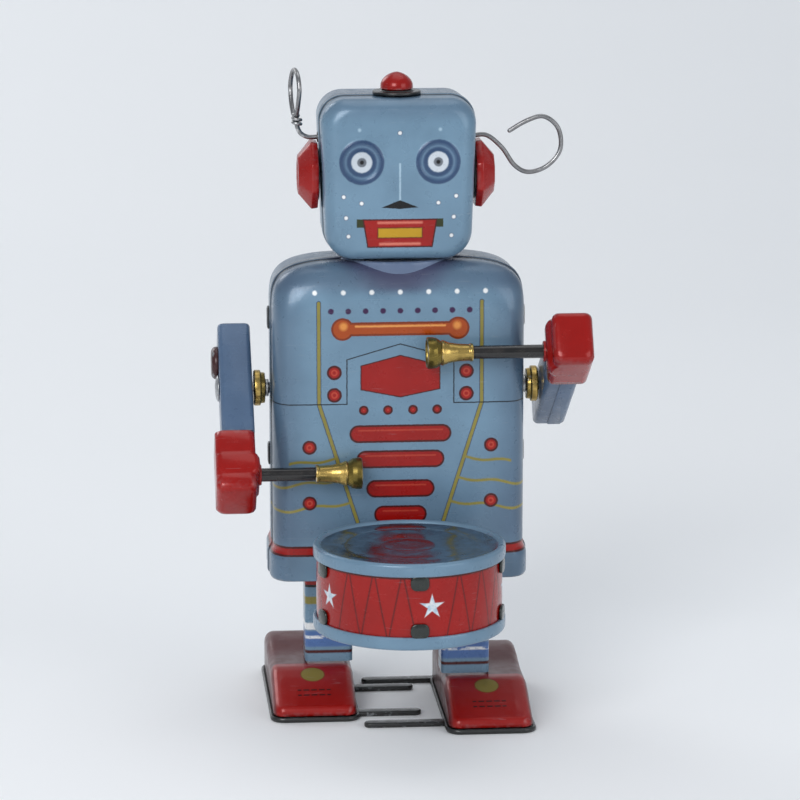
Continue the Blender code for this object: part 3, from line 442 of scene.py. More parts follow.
def chest_print():
    graph = Graph("chest_print")
    work = Print(graph, LIGHT_BLUE)
    x, z, side = work.x, work.z, work.side
    # Painted shade: the sloping top of the chest is darker.
    work.colour = graph.mix(graph.z.ramp(92.5, 96.5, 0.0, 0.55), work.colour, SHADE_BLUE)
    # Painted shadow of the collar on the chest round its foot.
    across, along = graph.x / COLLAR_HALF_X, graph.y / COLLAR_HALF_Y
    reach = (across * across + along * along).root()
    collar_shadow = reach.ramp(1.02, 1.4, 0.9, 0.0) * graph.z.ramp(93.0, 95.5)
    work.colour = graph.mix(collar_shadow, work.colour, COLLAR_SHADOW_BLUE)
    # Painted shade: darker towards the chest's sides.
    work.colour = graph.mix(side.ramp(17.0, 26.5) * 0.55, work.colour, SHADE_BLUE)
    # Painted shade low on the chest.
    low_chest_shade = graph.z.ramp(38.0, 42.0) * graph.z.ramp(44.0, 62.0, 0.35, 0.0)
    work.colour = graph.mix(low_chest_shade, work.colour, SHADE_BLUE)
    work.ink(WHITE, disc(x.fold(DOT_PITCH), z, 0.5, (0, CHEST_DOTS_Z)).most(side - 21.0), 0.3)
    work.ink(PURPLE, disc(x.fold(RIVET_PITCH), z, 0.62, (0, RIVETS_Z)).most(side - 16.2), 0.25)
    line = strokes(side, z, ((CHEST_LINE_X, 92.0), (CHEST_LINE_X, CHEST_LINE_BEND_Z),
                             (CHEST_LINE_FOOT_X, CHEST_LINE_FOOT_Z)), 0.36)
    work.ink(DEEP_BLUE, line - 0.15)
    work.ink(YELLOW, line)
    outside = (CHEST_LINE_FOOT_X - side) + (z - CHEST_LINE_FOOT_Z) * (
        (CHEST_LINE_X - CHEST_LINE_FOOT_X) / (CHEST_LINE_BEND_Z - CHEST_LINE_FOOT_Z))
    for height, reach, phase in RIBBONS:
        wave = (side * 0.62 + phase).sine() * 0.32 - (side - 14.0) * 0.12
        ribbon = (abs(z - height - wave) - 0.3).most(outside).most(side - reach)
        work.ink(YELLOW, ribbon, 0.25)
    panel = strokes(side, z, ((30.0, 70.0), (11.5, 70.0), (11.5, 79.7), (0.0, 83.0)), 0.12)
    work.ink(INK, panel, 0.15)
    lens = (side - 8.6).most(z + side * 0.256 - 80.6).most(71.3 - z + side * 0.198)
    work.ink(DARK_RED, lens)
    work.ink(RED, lens + 0.25)
    handle = block(side, z, 12.4, 1.5, (0, 86.3)).least(disc(side, z, 2.45, (12.4, 86.3)))
    work.ink(BROWN, handle)
    work.ink(ORANGE, handle + 0.45)
    work.ink(rgb(236, 160, 84), abs(z - 86.9) - 0.2 + side.ramp(9.6, 10.4, 0.0, 1.0), 0.3)
    work.ink(rgb(232, 150, 70), disc(side, z, 0.8, (12.2, 86.9)), 0.7)
    ink_stud(work, disc(side, abs(z - 74.45), 1.6, (14.2, 2.45)))
    ink_stud(work, disc(side, abs(z - 54.45), 1.55, (19.6, 6.15)))
    ink_stud(work, disc(abs(side - 5.3), z, 1.05, (2.6, 68.6)))
    ink_grille(work)
    ink_belt(work)
    return varnish(graph, work.colour, seam=seam_distance(graph, TORSO_HIGH.y))


def face_print():
    graph = Graph("face_print")
    work = Print(graph, LIGHT_BLUE)
    x, z, side = work.x, work.z, work.side
    # Painted shade: darker towards the top of the head.
    work.colour = graph.mix(graph.z.ramp(129.5, 133.5) * 0.35, work.colour, SHADE_BLUE)
    eye = disc(side, z, 0.0, EYE_PLACE)
    work.ink(EYE_BLUE, eye - 4.75, 0.25)
    work.ink(EYE_SHADE, abs(eye - 4.35) - 0.36, 0.4)
    work.ink(EYE_GLINT, abs(eye - 3.4) - 0.14, 0.5)
    work.ink(EYE_SHADE, abs(eye - 2.7) - 0.36, 0.4)
    work.ink(rgb(206, 214, 222), eye - 2.2, 0.3)
    work.ink(rgb(110, 116, 124), eye - 1.0, 0.25)
    work.ink(INK, eye - 0.45, 0.3)
    work.ink(PALE_BLUE, stroke(x, z, (0.0, 121.7), (0.0, 113.9), 0.2), 0.2)
    nose = (side * 0.4 + z - 113.95).most(112.05 - z + side * 0.08)
    work.ink(INK, nose)
    lips = (side + (109.9 - z) * 0.16 - 8.0).most(abs(z - 106.8) - 3.1)
    tabs = block(side, z, 0.85, 0.9, (8.4, 109.0))
    work.ink(GREEN, tabs)
    work.ink(DARK_RED, lips)
    work.ink(RED, lips + 0.3)
    work.ink(LIP_LIGHT, stroke(side, z, (0.0, 109.1), (4.6, 109.1), 0.16), 0.55)
    work.ink(LIP_LIGHT, stroke(side, z, (0.0, 104.5), (4.2, 104.5), 0.2), 0.5)
    teeth = block(side, z, 4.65, 0.98, (0, 106.9))
    work.ink(DARK_RED, teeth - 0.18, 0.3)
    work.ink(MOUTH_YELLOW, teeth, 0.25)
    work.ink(PALE_BLUE, disc(side, z, 0.34, (8.6, 129.0)), 0.4)
    for spot_place in FACE_SPOTS:
        spot = disc(side, z, 0.4, spot_place)
        work.ink(DEEP_BLUE, spot - 0.12, 0.25)
        work.ink(WHITE, spot, 0.25)
    return varnish(graph, work.colour, seam=seam_distance(graph, HEAD_HIGH.y))


def back_print():
    """Plainer print of the torso's back: belt, panel outline and rivets round the key."""
    graph = Graph("back_print")
    work = Print(graph, LIGHT_BLUE)
    z, side = work.z, work.side
    # Painted shade towards the sides, and a painted dark reflection on the top.
    work.colour = graph.mix(side.ramp(19.0, 26.5) * 0.3, work.colour, SHADE_BLUE)
    work.colour = graph.mix(graph.z.ramp(90.0, 99.0, 0.0, 0.6), work.colour, SHADE_BLUE)
    panel = abs(block(side, z, 18.0, 24.0, (0, 66.0))) - 0.2
    work.ink(DEEP_BLUE, panel)
    ring = abs(disc(side, z, 8.2, (0, 58.0))) - 0.35
    work.ink(YELLOW, ring)
    for height in (46.0, 86.0):
        work.ink(WHITE, disc(work.x.fold(DOT_PITCH), z, 0.6, (0, height)).most(side - 15.5), 0.3)
    ink_belt(work)
    return varnish(graph, work.colour, seam=seam_distance(graph, TORSO_HIGH.y))


def head_back_print():
    graph = Graph("head_back_print")
    work = Print(graph, LIGHT_BLUE)
    z, side = work.z, work.side
    # Painted dark reflection: the top is darker.
    work.colour = graph.mix(graph.z.ramp(131.0, 134.5, 0.0, 0.6), work.colour, SHADE_BLUE)
    vents = union(bar(side, z, 8.0, 0.9, height) for height in (112.0, 117.0, 122.0))
    work.ink(DEEP_BLUE, vents.most(2.0 - graph.y))
    work.ink(WHITE, disc(side, z, 0.5, (11.5, 128.0)), 0.25)
    return varnish(graph, work.colour, seam=seam_distance(graph, HEAD_HIGH.y))


def drum_print():
    """Red drum wall with a zigzag of cord and five white stars."""
    graph = Graph("drum_print")
    work = Print(graph, RED)
    around = graph.math("ARCTAN2", graph.x, graph.y * -1.0)
    radius = (DRUM_HIGH.x - DRUM_LOW.x) / 2
    star_pitch = 2 * math.pi / 5
    lace_pitch = star_pitch / 4
    middle = (DRUM_LOW.z + DRUM_HIGH.z) / 2
    turn = around - math.radians(STAR_TURN)
    lace = abs((turn + lace_pitch / 2).fold(lace_pitch)) * radius
    rise = (work.z - DRUM_LOW.z) / (DRUM_HIGH.z - DRUM_LOW.z) * (lace_pitch * radius / 2)
    zigzag = abs(lace - rise) - 0.13
    star_x = abs(turn.fold(star_pitch)) * radius
    star_z = work.z - middle
    work.ink(DARK_RED, zigzag.most((star_x - 2.9) * -1.0), 0.3)
    work.ink(DARK_RED, abs(work.z - DRUM_HIGH.z + 1.4) - 0.3, 0.3)
    rays = []
    for degrees in (90, 18, -54):
        across, up = math.cos(math.radians(degrees)), math.sin(math.radians(degrees))
        along = star_x * across + star_z * up
        off = abs(star_x * up - star_z * across)
        rays.append((off + along * (STAR_WIDTH / STAR_REACH) - STAR_WIDTH).most(along * -1.0 - 0.2))
    star = union(rays + [disc(star_x, star_z, 0.95)])
    work.ink(graph.mix(graph.noise(0.9, 3.0).ramp(0.4, 0.7), STAR_WHITE, PALE_BLUE), star, 0.18)
    return varnish(graph, work.colour, gloss=0.2)


def leg_print():
    graph = Graph("leg_print")
    work = Print(graph, LIGHT_BLUE)
    z = work.z
    work.ink(INK, abs(z - 27.7) - 2.0)
    work.ink(RED, abs(z - 27.7) - 1.45)
    work.ink(YELLOW, abs(z - 22.7) - 0.85, 0.3)
    work.ink(WHITE, abs(z - 16.8) - 0.75, 0.35)
    work.ink(rgb(78, 112, 168), abs(z - 13.9) - 1.8, 0.5)
    work.ink(WHITE, (abs(z - 14.3) - 0.3).most(graph.noise(0.7, 2.0) * 2.0 - 1.0), 0.35)
    work.ink(DARK_RED, abs(z - 11.0) - 0.35, 0.3)
    return varnish(graph, work.colour, gloss=0.24)


def shoe_print():
    """Red toe and instep, maroon behind the leg, a yellow dot and short dashes."""
    graph = Graph("shoe_print")
    work = Print(graph, RED)
    behind = graph.y
    across = abs(work.x) - SHOE_MIDDLE
    work.colour = graph.mix(behind.ramp(-4.2, -3.2), work.colour, MAROON)
    work.colour = graph.mix((abs(across) - 8.4).ramp(-0.2, 0.4, 0.0, 0.75), work.colour, MAROON)
    slope = behind + 9.3
    dot = (across * across + slope * slope * 1.1).root() - 2.5
    work.ink(BROWN, dot - 0.25)
    work.ink(rgb(134, 118, 44), dot, 0.2)
    dash = abs(across.fold(1.7)) - 0.62
    rows = (abs(abs(behind + 15.6) - 0.85) - 0.2).most(abs(across) - 3.6)
    work.ink(INK, rows.most(dash), 0.25)
    return varnish(graph, work.colour, gloss=0.3, wear=0.12)


# ---- mesh helpers --------------------------------------------------------------------
def to_object(name, bm):
    """A new object in the scene from a bmesh, which is freed."""
    mesh = bpy.data.meshes.new(name)
    bm.to_mesh(mesh)
    bm.free()
    thing = bpy.data.objects.new(name, mesh)
    bpy.context.scene.collection.objects.link(thing)
    return thing


def add_piece(name, bm, place, body, material, replaced=(), angle=35.0, tidy=True):
    """Turns a millimetre bmesh into a piece that rides on a body."""
    if tidy:
        bmesh.ops.recalc_face_normals(bm, faces=bm.faces)
    bmesh.ops.scale(bm, vec=(MM, MM, MM), verts=bm.verts)
    piece = to_object(name, bm)
    piece.data.shade_smooth()
    piece.data.set_sharp_from_angle(angle=math.radians(angle))
    piece.data.materials.append(material)
    piece.matrix_world = place.matrix
    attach(piece, body)
    if replaced:
        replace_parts(piece, *replaced)
    return piece


def thicken(piece):
    solidify = piece.modifiers.new("thickness", "SOLIDIFY")
    solidify.thickness = TIN * MM
    solidify.offset = -1.0
    solidify.use_even_offset = True


def add_shell(name, bm, material, node):
    """One half of a casing, stamped from sheet tin."""
    shell = add_piece(name, bm, ROBOT, "body", material, [node], tidy=False)
    thicken(shell)
    return shell


def drill(piece, radius, start, end, axis, centre=(0, 0, 0), sign=1, count=32):
    """Cuts a round hole from start to end along an axis of the piece's own place."""
    bm = lathe([(0, start), (radius, start), (radius, end), (0, end)], axis, centre, count, sign)
    bmesh.ops.recalc_face_normals(bm, faces=bm.faces)
    bmesh.ops.scale(bm, vec=(MM, MM, MM), verts=bm.verts)
    tool = to_object(piece.name + "_hole", bm)
    tool.matrix_world = piece.matrix_world
    boolean = piece.modifiers.new("hole", "BOOLEAN")
    boolean.operation = "DIFFERENCE"
    boolean.object = tool
    bpy.context.view_layer.update()
    evaluated = piece.evaluated_get(bpy.context.evaluated_depsgraph_get())
    final = bpy.data.meshes.new_from_object(evaluated)
    piece.modifiers.clear()
    piece.data = final
    bpy.data.objects.remove(tool)
    final.set_sharp_from_angle(angle=math.radians(35))


def side_span(low, high):
    """Nearest and farthest distance of a box from the robot's middle."""
    return sorted((abs(low.x), abs(high.x)))


def smooth_step(t):
    return t * t * (3 - 2 * t)


def arc(centre, radius, start, end, steps):
    points = []
    for step in range(steps + 1):
        angle = math.radians(start + (end - start) * step / steps)
        points.append((centre[0] + radius * math.cos(angle), centre[1] + radius * math.sin(angle)))
    return points


def skin(bm, loops, closed=True, caps=True):
    """Quads between neighbouring point loops, and a cap on each end."""
    rows = [[bm.verts.new(point) for point in loop] for loop in loops]
    count = len(rows[0]) if closed else len(rows[0]) - 1
    for near, far in zip(rows, rows[1:]):
        for index in range(count):
            after = (index + 1) % len(near)
            bm.faces.new((near[index], near[after], far[after], far[index]))
    if caps:
        bm.faces.new(rows[0])
        bm.faces.new(rows[-1])
    return rows


def lathe(profile, axis=ALONG_Z, centre=(0, 0, 0), count=64, mirror=1):
    """Spins (radius, height) points about an axis.

    Ends on the axis become poles; a profile that ends where it starts makes a ring.
    """
    place = Matrix.Translation(centre) @ Matrix.Scale(mirror, 4, (1, 0, 0)) @ axis
    turns = [2 * math.pi * step / count for step in range(count)]
    bm = bmesh.new()
    skin(bm, [[place @ Vector((radius * math.cos(turn), radius * math.sin(turn), height))
               for turn in turns] for radius, height in profile], caps=False)
    bmesh.ops.remove_doubles(bm, verts=bm.verts, dist=WELD)
    if (Vector(profile[0]) - Vector(profile[-1])).length > 1e-6:
        rims = [edge for edge in bm.edges if edge.is_boundary]
        if rims:
            bmesh.ops.holes_fill(bm, edges=rims)
    return bm


def bend(before, corner, after, reach, steps):
    """Points that round a corner, starting and ending at the given reach from it."""
    start = corner + (before - corner).normalized() * reach
    end = corner + (after - corner).normalized() * reach
    shares = [step / steps for step in range(steps + 1)]
    return [start * (1 - t) ** 2 + corner * 2 * t * (1 - t) + end * t * t for t in shares]


def rounded(profile, radius, steps=4):
    """Rounds the inner corners of a (radius, height) profile with small arcs."""
    points = [profile[0]]
    for corners in zip(profile, profile[1:], profile[2:]):
        before, corner, after = (Vector(point) for point in corners)
        reach = min(radius, (before - corner).length / 2, (after - corner).length / 2)
        points += [tuple(point) for point in bend(before, corner, after, reach, steps)]
    points.append(profile[-1])
    return points


def prism(outline, low, high, axis=ALONG_Z, centre=(0, 0, 0), soften=0.0, segments=3):
    """Slab of a flat outline whose edges are rounded by soften."""
    bm = bmesh.new()
    place = Matrix.Translation(centre) @ axis
    skin(bm, [[place @ Vector((x, y, level)) for x, y in outline] for level in (low, high)])
    if soften:
        round_edges(bm, soften, segments)
    return bm


def round_edges(bm, radius, segments=3, sharper=25.0):
    """Bevels the edges that turn by more than the angle sharper."""
    bmesh.ops.recalc_face_normals(bm, faces=bm.faces)
    edges = [edge for edge in bm.edges if edge.is_manifold
             and edge.calc_face_angle(0.0) > math.radians(sharper)]
    bmesh.ops.bevel(bm, geom=edges, offset=radius, segments=segments, affect="EDGES",
                    profile=0.5, clamp_overlap=True)


def rounded_rectangle(half_x, half_y, radius, centre=(0.0, 0.0), steps=6):
    points = []
    for sign_x, sign_y, start in ((1, 1, 0), (-1, 1, 90), (-1, -1, 180), (1, -1, 270)):
        corner = (centre[0] + sign_x * (half_x - radius), centre[1] + sign_y * (half_y - radius))
        points += arc(corner, radius, start, start + 90, steps)
    return points


def tube(bm, points, radius, sides=16, round_ends=True):
    """Round wire along a list of points, with domed ends."""
    points = [Vector(point) for point in points]
    radii = [radius] * len(points)
    if round_ends:
        for end, step in ((0, 1), (-1, -1)):
            away = (points[end] - points[end + step]).normalized()
            dome = [(points[end] + away * radius * math.sin(a), radius * math.cos(a))
                    for a in (0.4, 0.8, 1.2, 1.5)]
            if end == 0:
                points = [p for p, _ in reversed(dome)] + points
                radii = [r for _, r in reversed(dome)] + radii
            else:
                points = points + [p for p, _ in dome]
                radii = radii + [r for _, r in dome]
    loops = []
    normal = (points[1] - points[0]).orthogonal().normalized()
    for index, point in enumerate(points):
        ahead = points[min(index + 1, len(points) - 1)] - points[max(index - 1, 0)]
        tangent = ahead.normalized()
        normal = (normal - tangent * normal.dot(tangent)).normalized()
        other = tangent.cross(normal)
        loops.append([point + (normal * math.cos(2 * math.pi * s / sides)
                               + other * math.sin(2 * math.pi * s / sides)) * radii[index]
                      for s in range(sides)])
    skin(bm, loops)
    return bm


def smooth_route(points, steps=8):
    """Catmull-Rom points through a given route."""
    ends = [points[0]] + list(points) + [points[-1]]
    route = []
    for index in range(1, len(ends) - 2):
        p0, p1, p2, p3 = (Vector(p) for p in ends[index - 1:index + 3])
        for step in range(steps):
            t = step / steps
            route.append(0.5 * (2 * p1 + (p2 - p0) * t + (2 * p0 - 5 * p1 + 4 * p2 - p3) * t * t
                                + (3 * p1 - p0 - 3 * p2 + p3) * t ** 3))
    route.append(Vector(points[-1]))
    return route


# ---- stamped pans (torso and head shells) --------------------------------------------
# How far the seam's lip stands out, at distances from the seam.
PAN_LIP = ((0.0, 0.3), (0.5, 0.3), (0.9, 0.06), (1.1, 0.0))
# Insets of the pressed face (side, bottom, top) and the depth of its rounded edge.
TORSO_FILLET = (4.0, 0.0, 8.0, 6.0)
HEAD_FILLET = (3.5, 3.0, 3.0, 4.0)


def pan(side, seam, face, fillet, crown, closed, rings=30, dent=0.08):
    """Right half of a stamped pan, mirrored: a wall from the seam, a fillet and a crowned face.

    side runs up the right edge to the middle of the top; fillet is (side, bottom, top, depth).
    Rings that shrink toward the middle of the face, or of its open bottom edge, fill the face.
    """
    in_x, in_low, in_top, depth = fillet
    sign = 1 if face > seam else -1
    half_x = max(x for x, _ in side)
    low, top = side[0][1], side[-1][1]
    edge_y = face - sign * crown

    def ring(y, shrink, grow=0.0):
        wide = (half_x + grow - in_x * shrink) / half_x
        tall = (top - low - (in_low + in_top) * shrink + grow) / (top - low)
        return [(x * wide, y, low + in_low * shrink + (z - low) * tall) for x, z in side]

    rows = [ring(seam + sign * along, 0, lip) for along, lip in PAN_LIP]
    wall_start, wall_end = seam + sign * PAN_LIP[-1][0], edge_y - sign * depth
    for step in range(1, 4):
        rows.append(ring(wall_start + (wall_end - wall_start) * step / 4, 0))
    for step in range(13):
        angle = math.radians(90) * step / 12
        rows.append(ring(edge_y - sign * depth * (1 - math.sin(angle)), 1 - math.cos(angle)))
    rim = rows[-1]
    centre = (rim[0][2] + rim[-1][2]) / 2 if closed else rim[0][2]
    for step in range(1, rings + 1):
        scale = 1 - step / rings
        bulge = 1 - scale ** 4
        row = []
        for x, _, z in rim:
            spot = Vector((x * scale, 0, centre + (z - centre) * scale))
            wave = noise.noise(Vector((spot.x * 0.09, spot.z * 0.09, face))) * dent
            row.append((spot.x, edge_y + bulge * (sign * crown + wave), spot.z))
        rows.append(row)
    bm = bmesh.new()
    skin(bm, rows, closed=False, caps=False)
    bmesh.ops.remove_doubles(bm, verts=bm.verts, dist=WELD)
    copy = bmesh.ops.duplicate(bm, geom=bm.verts[:] + bm.edges[:] + bm.faces[:])["geom"]
    mirrored = [item for item in copy if isinstance(item, bmesh.types.BMVert)]
    for vert in mirrored:
        vert.co.x = -vert.co.x
    faces = [item for item in copy if isinstance(item, bmesh.types.BMFace)]
    bmesh.ops.reverse_faces(bm, faces=faces)
    bmesh.ops.remove_doubles(bm, verts=bm.verts, dist=2e-3)
    bmesh.ops.recalc_face_normals(bm, faces=bm.faces)
    middle = Vector((0, face, (low + top) / 2))
    outer = min(bm.faces, key=lambda item: (item.calc_center_median() - middle).length)
    outer.normal_update()
    if outer.normal.y * sign < 0:
        bmesh.ops.reverse_faces(bm, faces=bm.faces)
    return bm


def torso_side():
    """Right edge of the torso, from the skirt's bottom to the middle of the top."""
    low, top = TORSO_LOW.z, TORSO_HIGH.z
    skirt = TORSO_HIGH.x
    half = skirt - SKIRT_STEP
    points = [(skirt - 0.25, low), (skirt, low + 0.5)]
    points += [(skirt, low + 0.5 + 4.2 * step / 4) for step in range(1, 5)]
    for step in range(1, 7):
        t = step / 6
        points.append((skirt - SKIRT_STEP * smooth_step(t), low + 4.7 + 2.3 * t))
    spring = top - ARCH_RISE
    points += [(half, low + 7.0 + (spring - low - 7.0) * step / 22) for step in range(1, 22)]
    for step in range(33):
        angle = math.radians(90) * step / 32
        points.append((half * max(math.cos(angle), 0.0) ** (2 / SHOULDER_POWER),
                       spring + ARCH_RISE * math.sin(angle) ** (2 / SHOULDER_POWER)))
    points[-1] = (0.0, top)
    return points


def head_side():
    """Right edge of the head, from the middle of the chin to the middle of the crown."""
    low, top = HEAD_LOW.z, HEAD_HIGH.z
    half = HEAD_HIGH.x
    chin = half - 0.8
    corner, jaw = 5.5, 6.2
    points = [((chin - jaw) * step / 20, low) for step in range(20)]
    points += arc((chin - jaw, low + jaw), jaw, -90, 0, 12)
    start, end = (chin, low + jaw), (half, top - corner)
    run, rise = end[0] - start[0], end[1] - start[1]
    points += [(start[0] + run * step / 40, start[1] + rise * step / 40) for step in range(1, 40)]
    points += arc((half - corner, top - corner), corner, 0, 90, 12)
    points += [((half - corner) * (1 - step / 20), top) for step in range(1, 21)]
    return points


def build_torso():
    half_x = TORSO_HIGH.x - SKIRT_STEP
    shape = (TORSO_FILLET, 0.25, False)
    add_shell("torso_front", pan(torso_side(), TORSO_HIGH.y, TORSO_LOW.y, *shape),
              CHEST, "body_front_shell")
    back_low, back_high = ROBOT.box("body_back_shell")
    back = add_shell("torso_back", pan(torso_side(), back_low.y, back_high.y, *shape),
                     BACK, "body_back_shell")
    lap = add_lap("torso_lap", torso_side(), TORSO_HIGH.y, 0.55, False)
    for sign in SIDES.values():
        for shell in (back, lap):
            drill(shell, PIN_HOLE, half_x - 3, half_x + 3, ALONG_X, (0, 0, SHOULDER_Z), sign)
    arbor_z = KEY.matrix.translation.z / MM
    drill(back, ARBOR_HOLE, back_high.y - 2, back_high.y + 2, ALONG_Y, (0, 0, arbor_z))
    ring = [(ARBOR_HOLE + 0.05, 0), (3.6, 0), (3.6, 0.7), (ARBOR_HOLE + 0.05, 0.7)]
    eyelet = lathe(rounded(ring, 0.3) + [ring[0]], ALONG_Y, (0, back_high.y + 0.05, arbor_z), 48)
    add_piece("key_eyelet", eyelet, ROBOT, "body", BRASS)
    for side, sign in SIDES.items():
        for number, height in enumerate(SIDE_TAB_HEIGHTS, 1):
            upright = ALONG_X @ Matrix.Rotation(math.radians(90), 4, "Z")
            tab = prism(rounded_rectangle(1.5, 2.4, 0.7), 0.0, 0.55, upright,
                        (half_x + 0.1, TORSO_HIGH.y + 1.9, height), 0.2, 2)
            for vert in tab.verts:
                bulge = 0.35 * math.exp(-((vert.co.z - height) / 1.6) ** 2)
                vert.co.x = sign * (vert.co.x + bulge)
            add_piece(f"{side}_side_tab_{number}", tab, ROBOT, "body", DARK_TIN)


def add_lap(name, side, seam, inset, closed):
    """Inner strip of sheet that bridges the seam between two shells."""
    half_x = max(x for x, _ in side)
    low, top = side[0][1], side[-1][1]
    loops = []
    for y in (seam - 2.2, seam - 1.0, seam + 1.2, seam + 2.4):
        wide = (half_x - inset) / half_x
        tall = (top - low - inset * (2 if closed else 1)) / (top - low)
        right = [(x * wide, y, low + (inset if closed else 0) + (z - low) * tall) for x, z in side]
        left = [(-x, y_, z) for x, y_, z in reversed(right) if x > 1e-6]
        loops.append(right + left)
    bm = bmesh.new()
    skin(bm, loops, closed=closed, caps=False)
    lap = add_piece(name, bm, ROBOT, "body", DARK_TIN)
    thicken(lap)
    return lap


def build_head():
    shape = (HEAD_FILLET, 0.3, True)
    face = pan(head_side(), HEAD_HIGH.y, HEAD_LOW.y, *shape, rings=52, dent=0.05)
    for vert in face.verts:
        if vert.co.y < HEAD_LOW.y + 1.0:
            vert.co.y -= eye_emboss(vert.co.x, vert.co.z)
    add_shell("head_front", face, FACE, "head_front_shell")
    back_low, back_high = ROBOT.box("head_back_shell")
    add_shell("head_back", pan(head_side(), back_low.y, back_high.y, *shape), HEAD_BACK,
              "head_back_shell")
    add_lap("head_lap", head_side(), HEAD_HIGH.y, 0.55, True)


def build_collar():
    """Straight-walled oval band between the torso and the head."""
    low, high = ROBOT.box("neck_collar")
    loops = []
    turns = [math.radians(3 * step) for step in range(120)]
    for inset, level in ((1.6, high.z - 0.1), (0.4, high.z), (0.08, high.z - 0.25),
                         (0.0, high.z - 0.7), (0.0, (low.z + high.z) / 2), (0.0, low.z + 0.3),
                         (0.3, low.z), (1.6, low.z)):
        loops.append([((high.x - inset) * math.cos(turn), (high.y - inset) * math.sin(turn), level)
                      for turn in turns])
    bm = bmesh.new()
    skin(bm, loops)
    add_piece("neck_collar_band", bm, ROBOT, "body", COLLAR, ["neck_collar"])


def eye_emboss(x, z):
    """Raised ring and domed middle of each eye."""
    radius = math.hypot(abs(x) - EYE_PLACE[0], z - EYE_PLACE[1])
    ring = math.exp(-((radius - 4.2) / 0.55) ** 2) * 0.28
    dome = 0.22 * max(0.0, 1 - (radius / 2.6) ** 2)
    return ring + dome


def build_lamp():
    low, high = ROBOT.box("lamp")
    flange_low, flange_high = ROBOT.box("lamp_flange")
    radius, height = high.x, high.z - low.z
    dome = [(radius * 0.9, low.z), (radius, low.z + 0.25), (radius, low.z + 0.7)]
    for step in range(1, 15):
        angle = math.radians(90 * step / 14)
        dome.append((radius * max(math.cos(angle), 0.0) ** 1.25,
                     low.z + 0.7 + (height - 0.7) * math.sin(angle)))
    dome[-1] = (0.0, high.z)
    middle = (0, (low.y + high.y) / 2, 0)
    add_piece("lamp_dome", lathe([(0, low.z)] + dome, centre=middle), ROBOT, "body",
              PLAIN_RED, ["lamp"])
    flange = rounded([(0, flange_low.z), (flange_high.x, flange_low.z), (flange_high.x, flange_high.z),
                      (radius + 0.2, flange_high.z), (radius + 0.1, flange_high.z + 0.25),
                      (0, flange_high.z + 0.25)], 0.25)
    add_piece("lamp_base", lathe(flange, centre=middle), ROBOT, "body", BLACK,
              ["lamp_flange"])


def build_ear(side):
    """Octagonal cap with a raised rim round its face, on a black washer."""
    sign = SIDES[side]
    low, high = ROBOT.box(side + "_ear")
    near, far = side_span(low, high)
    middle_y, middle_z = (low.y + high.y) / 2, (low.z + high.z) / 2
    wide = (high.z - low.z) / 2 / math.cos(math.pi / 8)
    bm = bmesh.new()
    loops = []
    for x, radius in ((near, wide - 0.2), (near + 1.4, wide), (far - 0.45, wide - 3.0),
                      (far, wide - 3.5), (far - 0.35, wide - 4.3)):
        corners = [Vector((radius * math.cos(turn), radius * math.sin(turn)))
                   for turn in (math.pi / 8 * (1 + 2 * k) for k in range(8))]
        loop = []
        for index, corner in enumerate(corners):
            bent = bend(corners[index - 1], corner, corners[(index + 1) % 8], 0.5, 2)
            loop += [(sign * x, middle_y + point.x, middle_z + point.y) for point in bent]
        loops.append(loop)
    skin(bm, loops)
    round_edges(bm, 0.22, 2, 18.0)
    add_piece(side + "_ear_cap", bm, ROBOT, "body", PLAIN_RED, [side + "_ear"], 30.0)
    washer = lathe(rounded([(0, near - 0.3), (wide * 0.72, near - 0.3), (wide * 0.72, near + 0.2),
                            (0, near + 0.2)], 0.1), ALONG_X, (0, middle_y, middle_z), 48, sign)
    add_piece(side + "_ear_washer", washer, ROBOT, "body", BLACK)


RIGHT_ANTENNA = ((-16.95, -0.5, 126.1), (-18.8, -0.5, 126.1), (-20.4, -0.6, 126.9),
                 (-21.2, -0.5, 128.6), (-21.3, -1.0, 130.6), (-21.1, -3.2, 133.4),
                 (-20.9, -4.5, 136.6), (-21.1, -3.2, 139.4), (-21.6, 0.0, 140.5),
                 (-22.0, 3.0, 139.4), (-22.3, 4.4, 136.6), (-22.2, 3.2, 133.4),
                 (-21.9, 1.0, 130.9))
LEFT_ANTENNA = ((16.95, -0.5, 126.1), (19.8, -0.5, 126.0), (23.0, -0.8, 123.3),
                (25.6, -1.2, 119.6), (28.6, -1.4, 118.1), (32.6, -1.4, 119.3),
                (35.5, -1.2, 122.8), (35.1, -0.9, 127.4), (32.0, -0.7, 130.0),
                (28.3, -0.6, 129.1), (24.6, -0.6, 127.0))


def build_antenna(side, points):
    """Bent steel wire that enters the head through a small grommet."""
    sign = SIDES[side]
    root = Vector(points[0]) - Vector((sign * 1.2, 0, 0))
    wire = tube(bmesh.new(), smooth_route([tuple(root)] + list(points)), WIRE_RADIUS, 16)
    add_piece(side + "_antenna_wire", wire, ROBOT, "body", WIRE, [side + "_antenna"])
    bore = WIRE_RADIUS + 0.03
    profile = rounded([(bore, 0), (1.1, 0), (1.1, 0.45), (bore, 0.45)], 0.2)
    centre = (sign * (HEAD_HIGH.x - 0.1), points[0][1], points[0][2])
    grommet = lathe(profile, ALONG_X, centre, 32, sign)
    add_piece(side + "_antenna_grommet", grommet, ROBOT, "body", DARK_TIN)


def build_wrap():
    """The right wire's end, wound twice round its own stem."""
    route = [(-21.6, 0.6, 130.7)]
    for step in range(25):
        angle = math.radians(60 + 30 * step)
        route.append((-21.25 + 0.85 * math.cos(angle), -0.75 + 0.85 * math.sin(angle),
                      130.6 - 0.075 * step))
    wrap = tube(bmesh.new(), smooth_route(route, 4), 0.38, 12)
    add_piece("right_antenna_wrap", wrap, ROBOT, "body", WIRE)


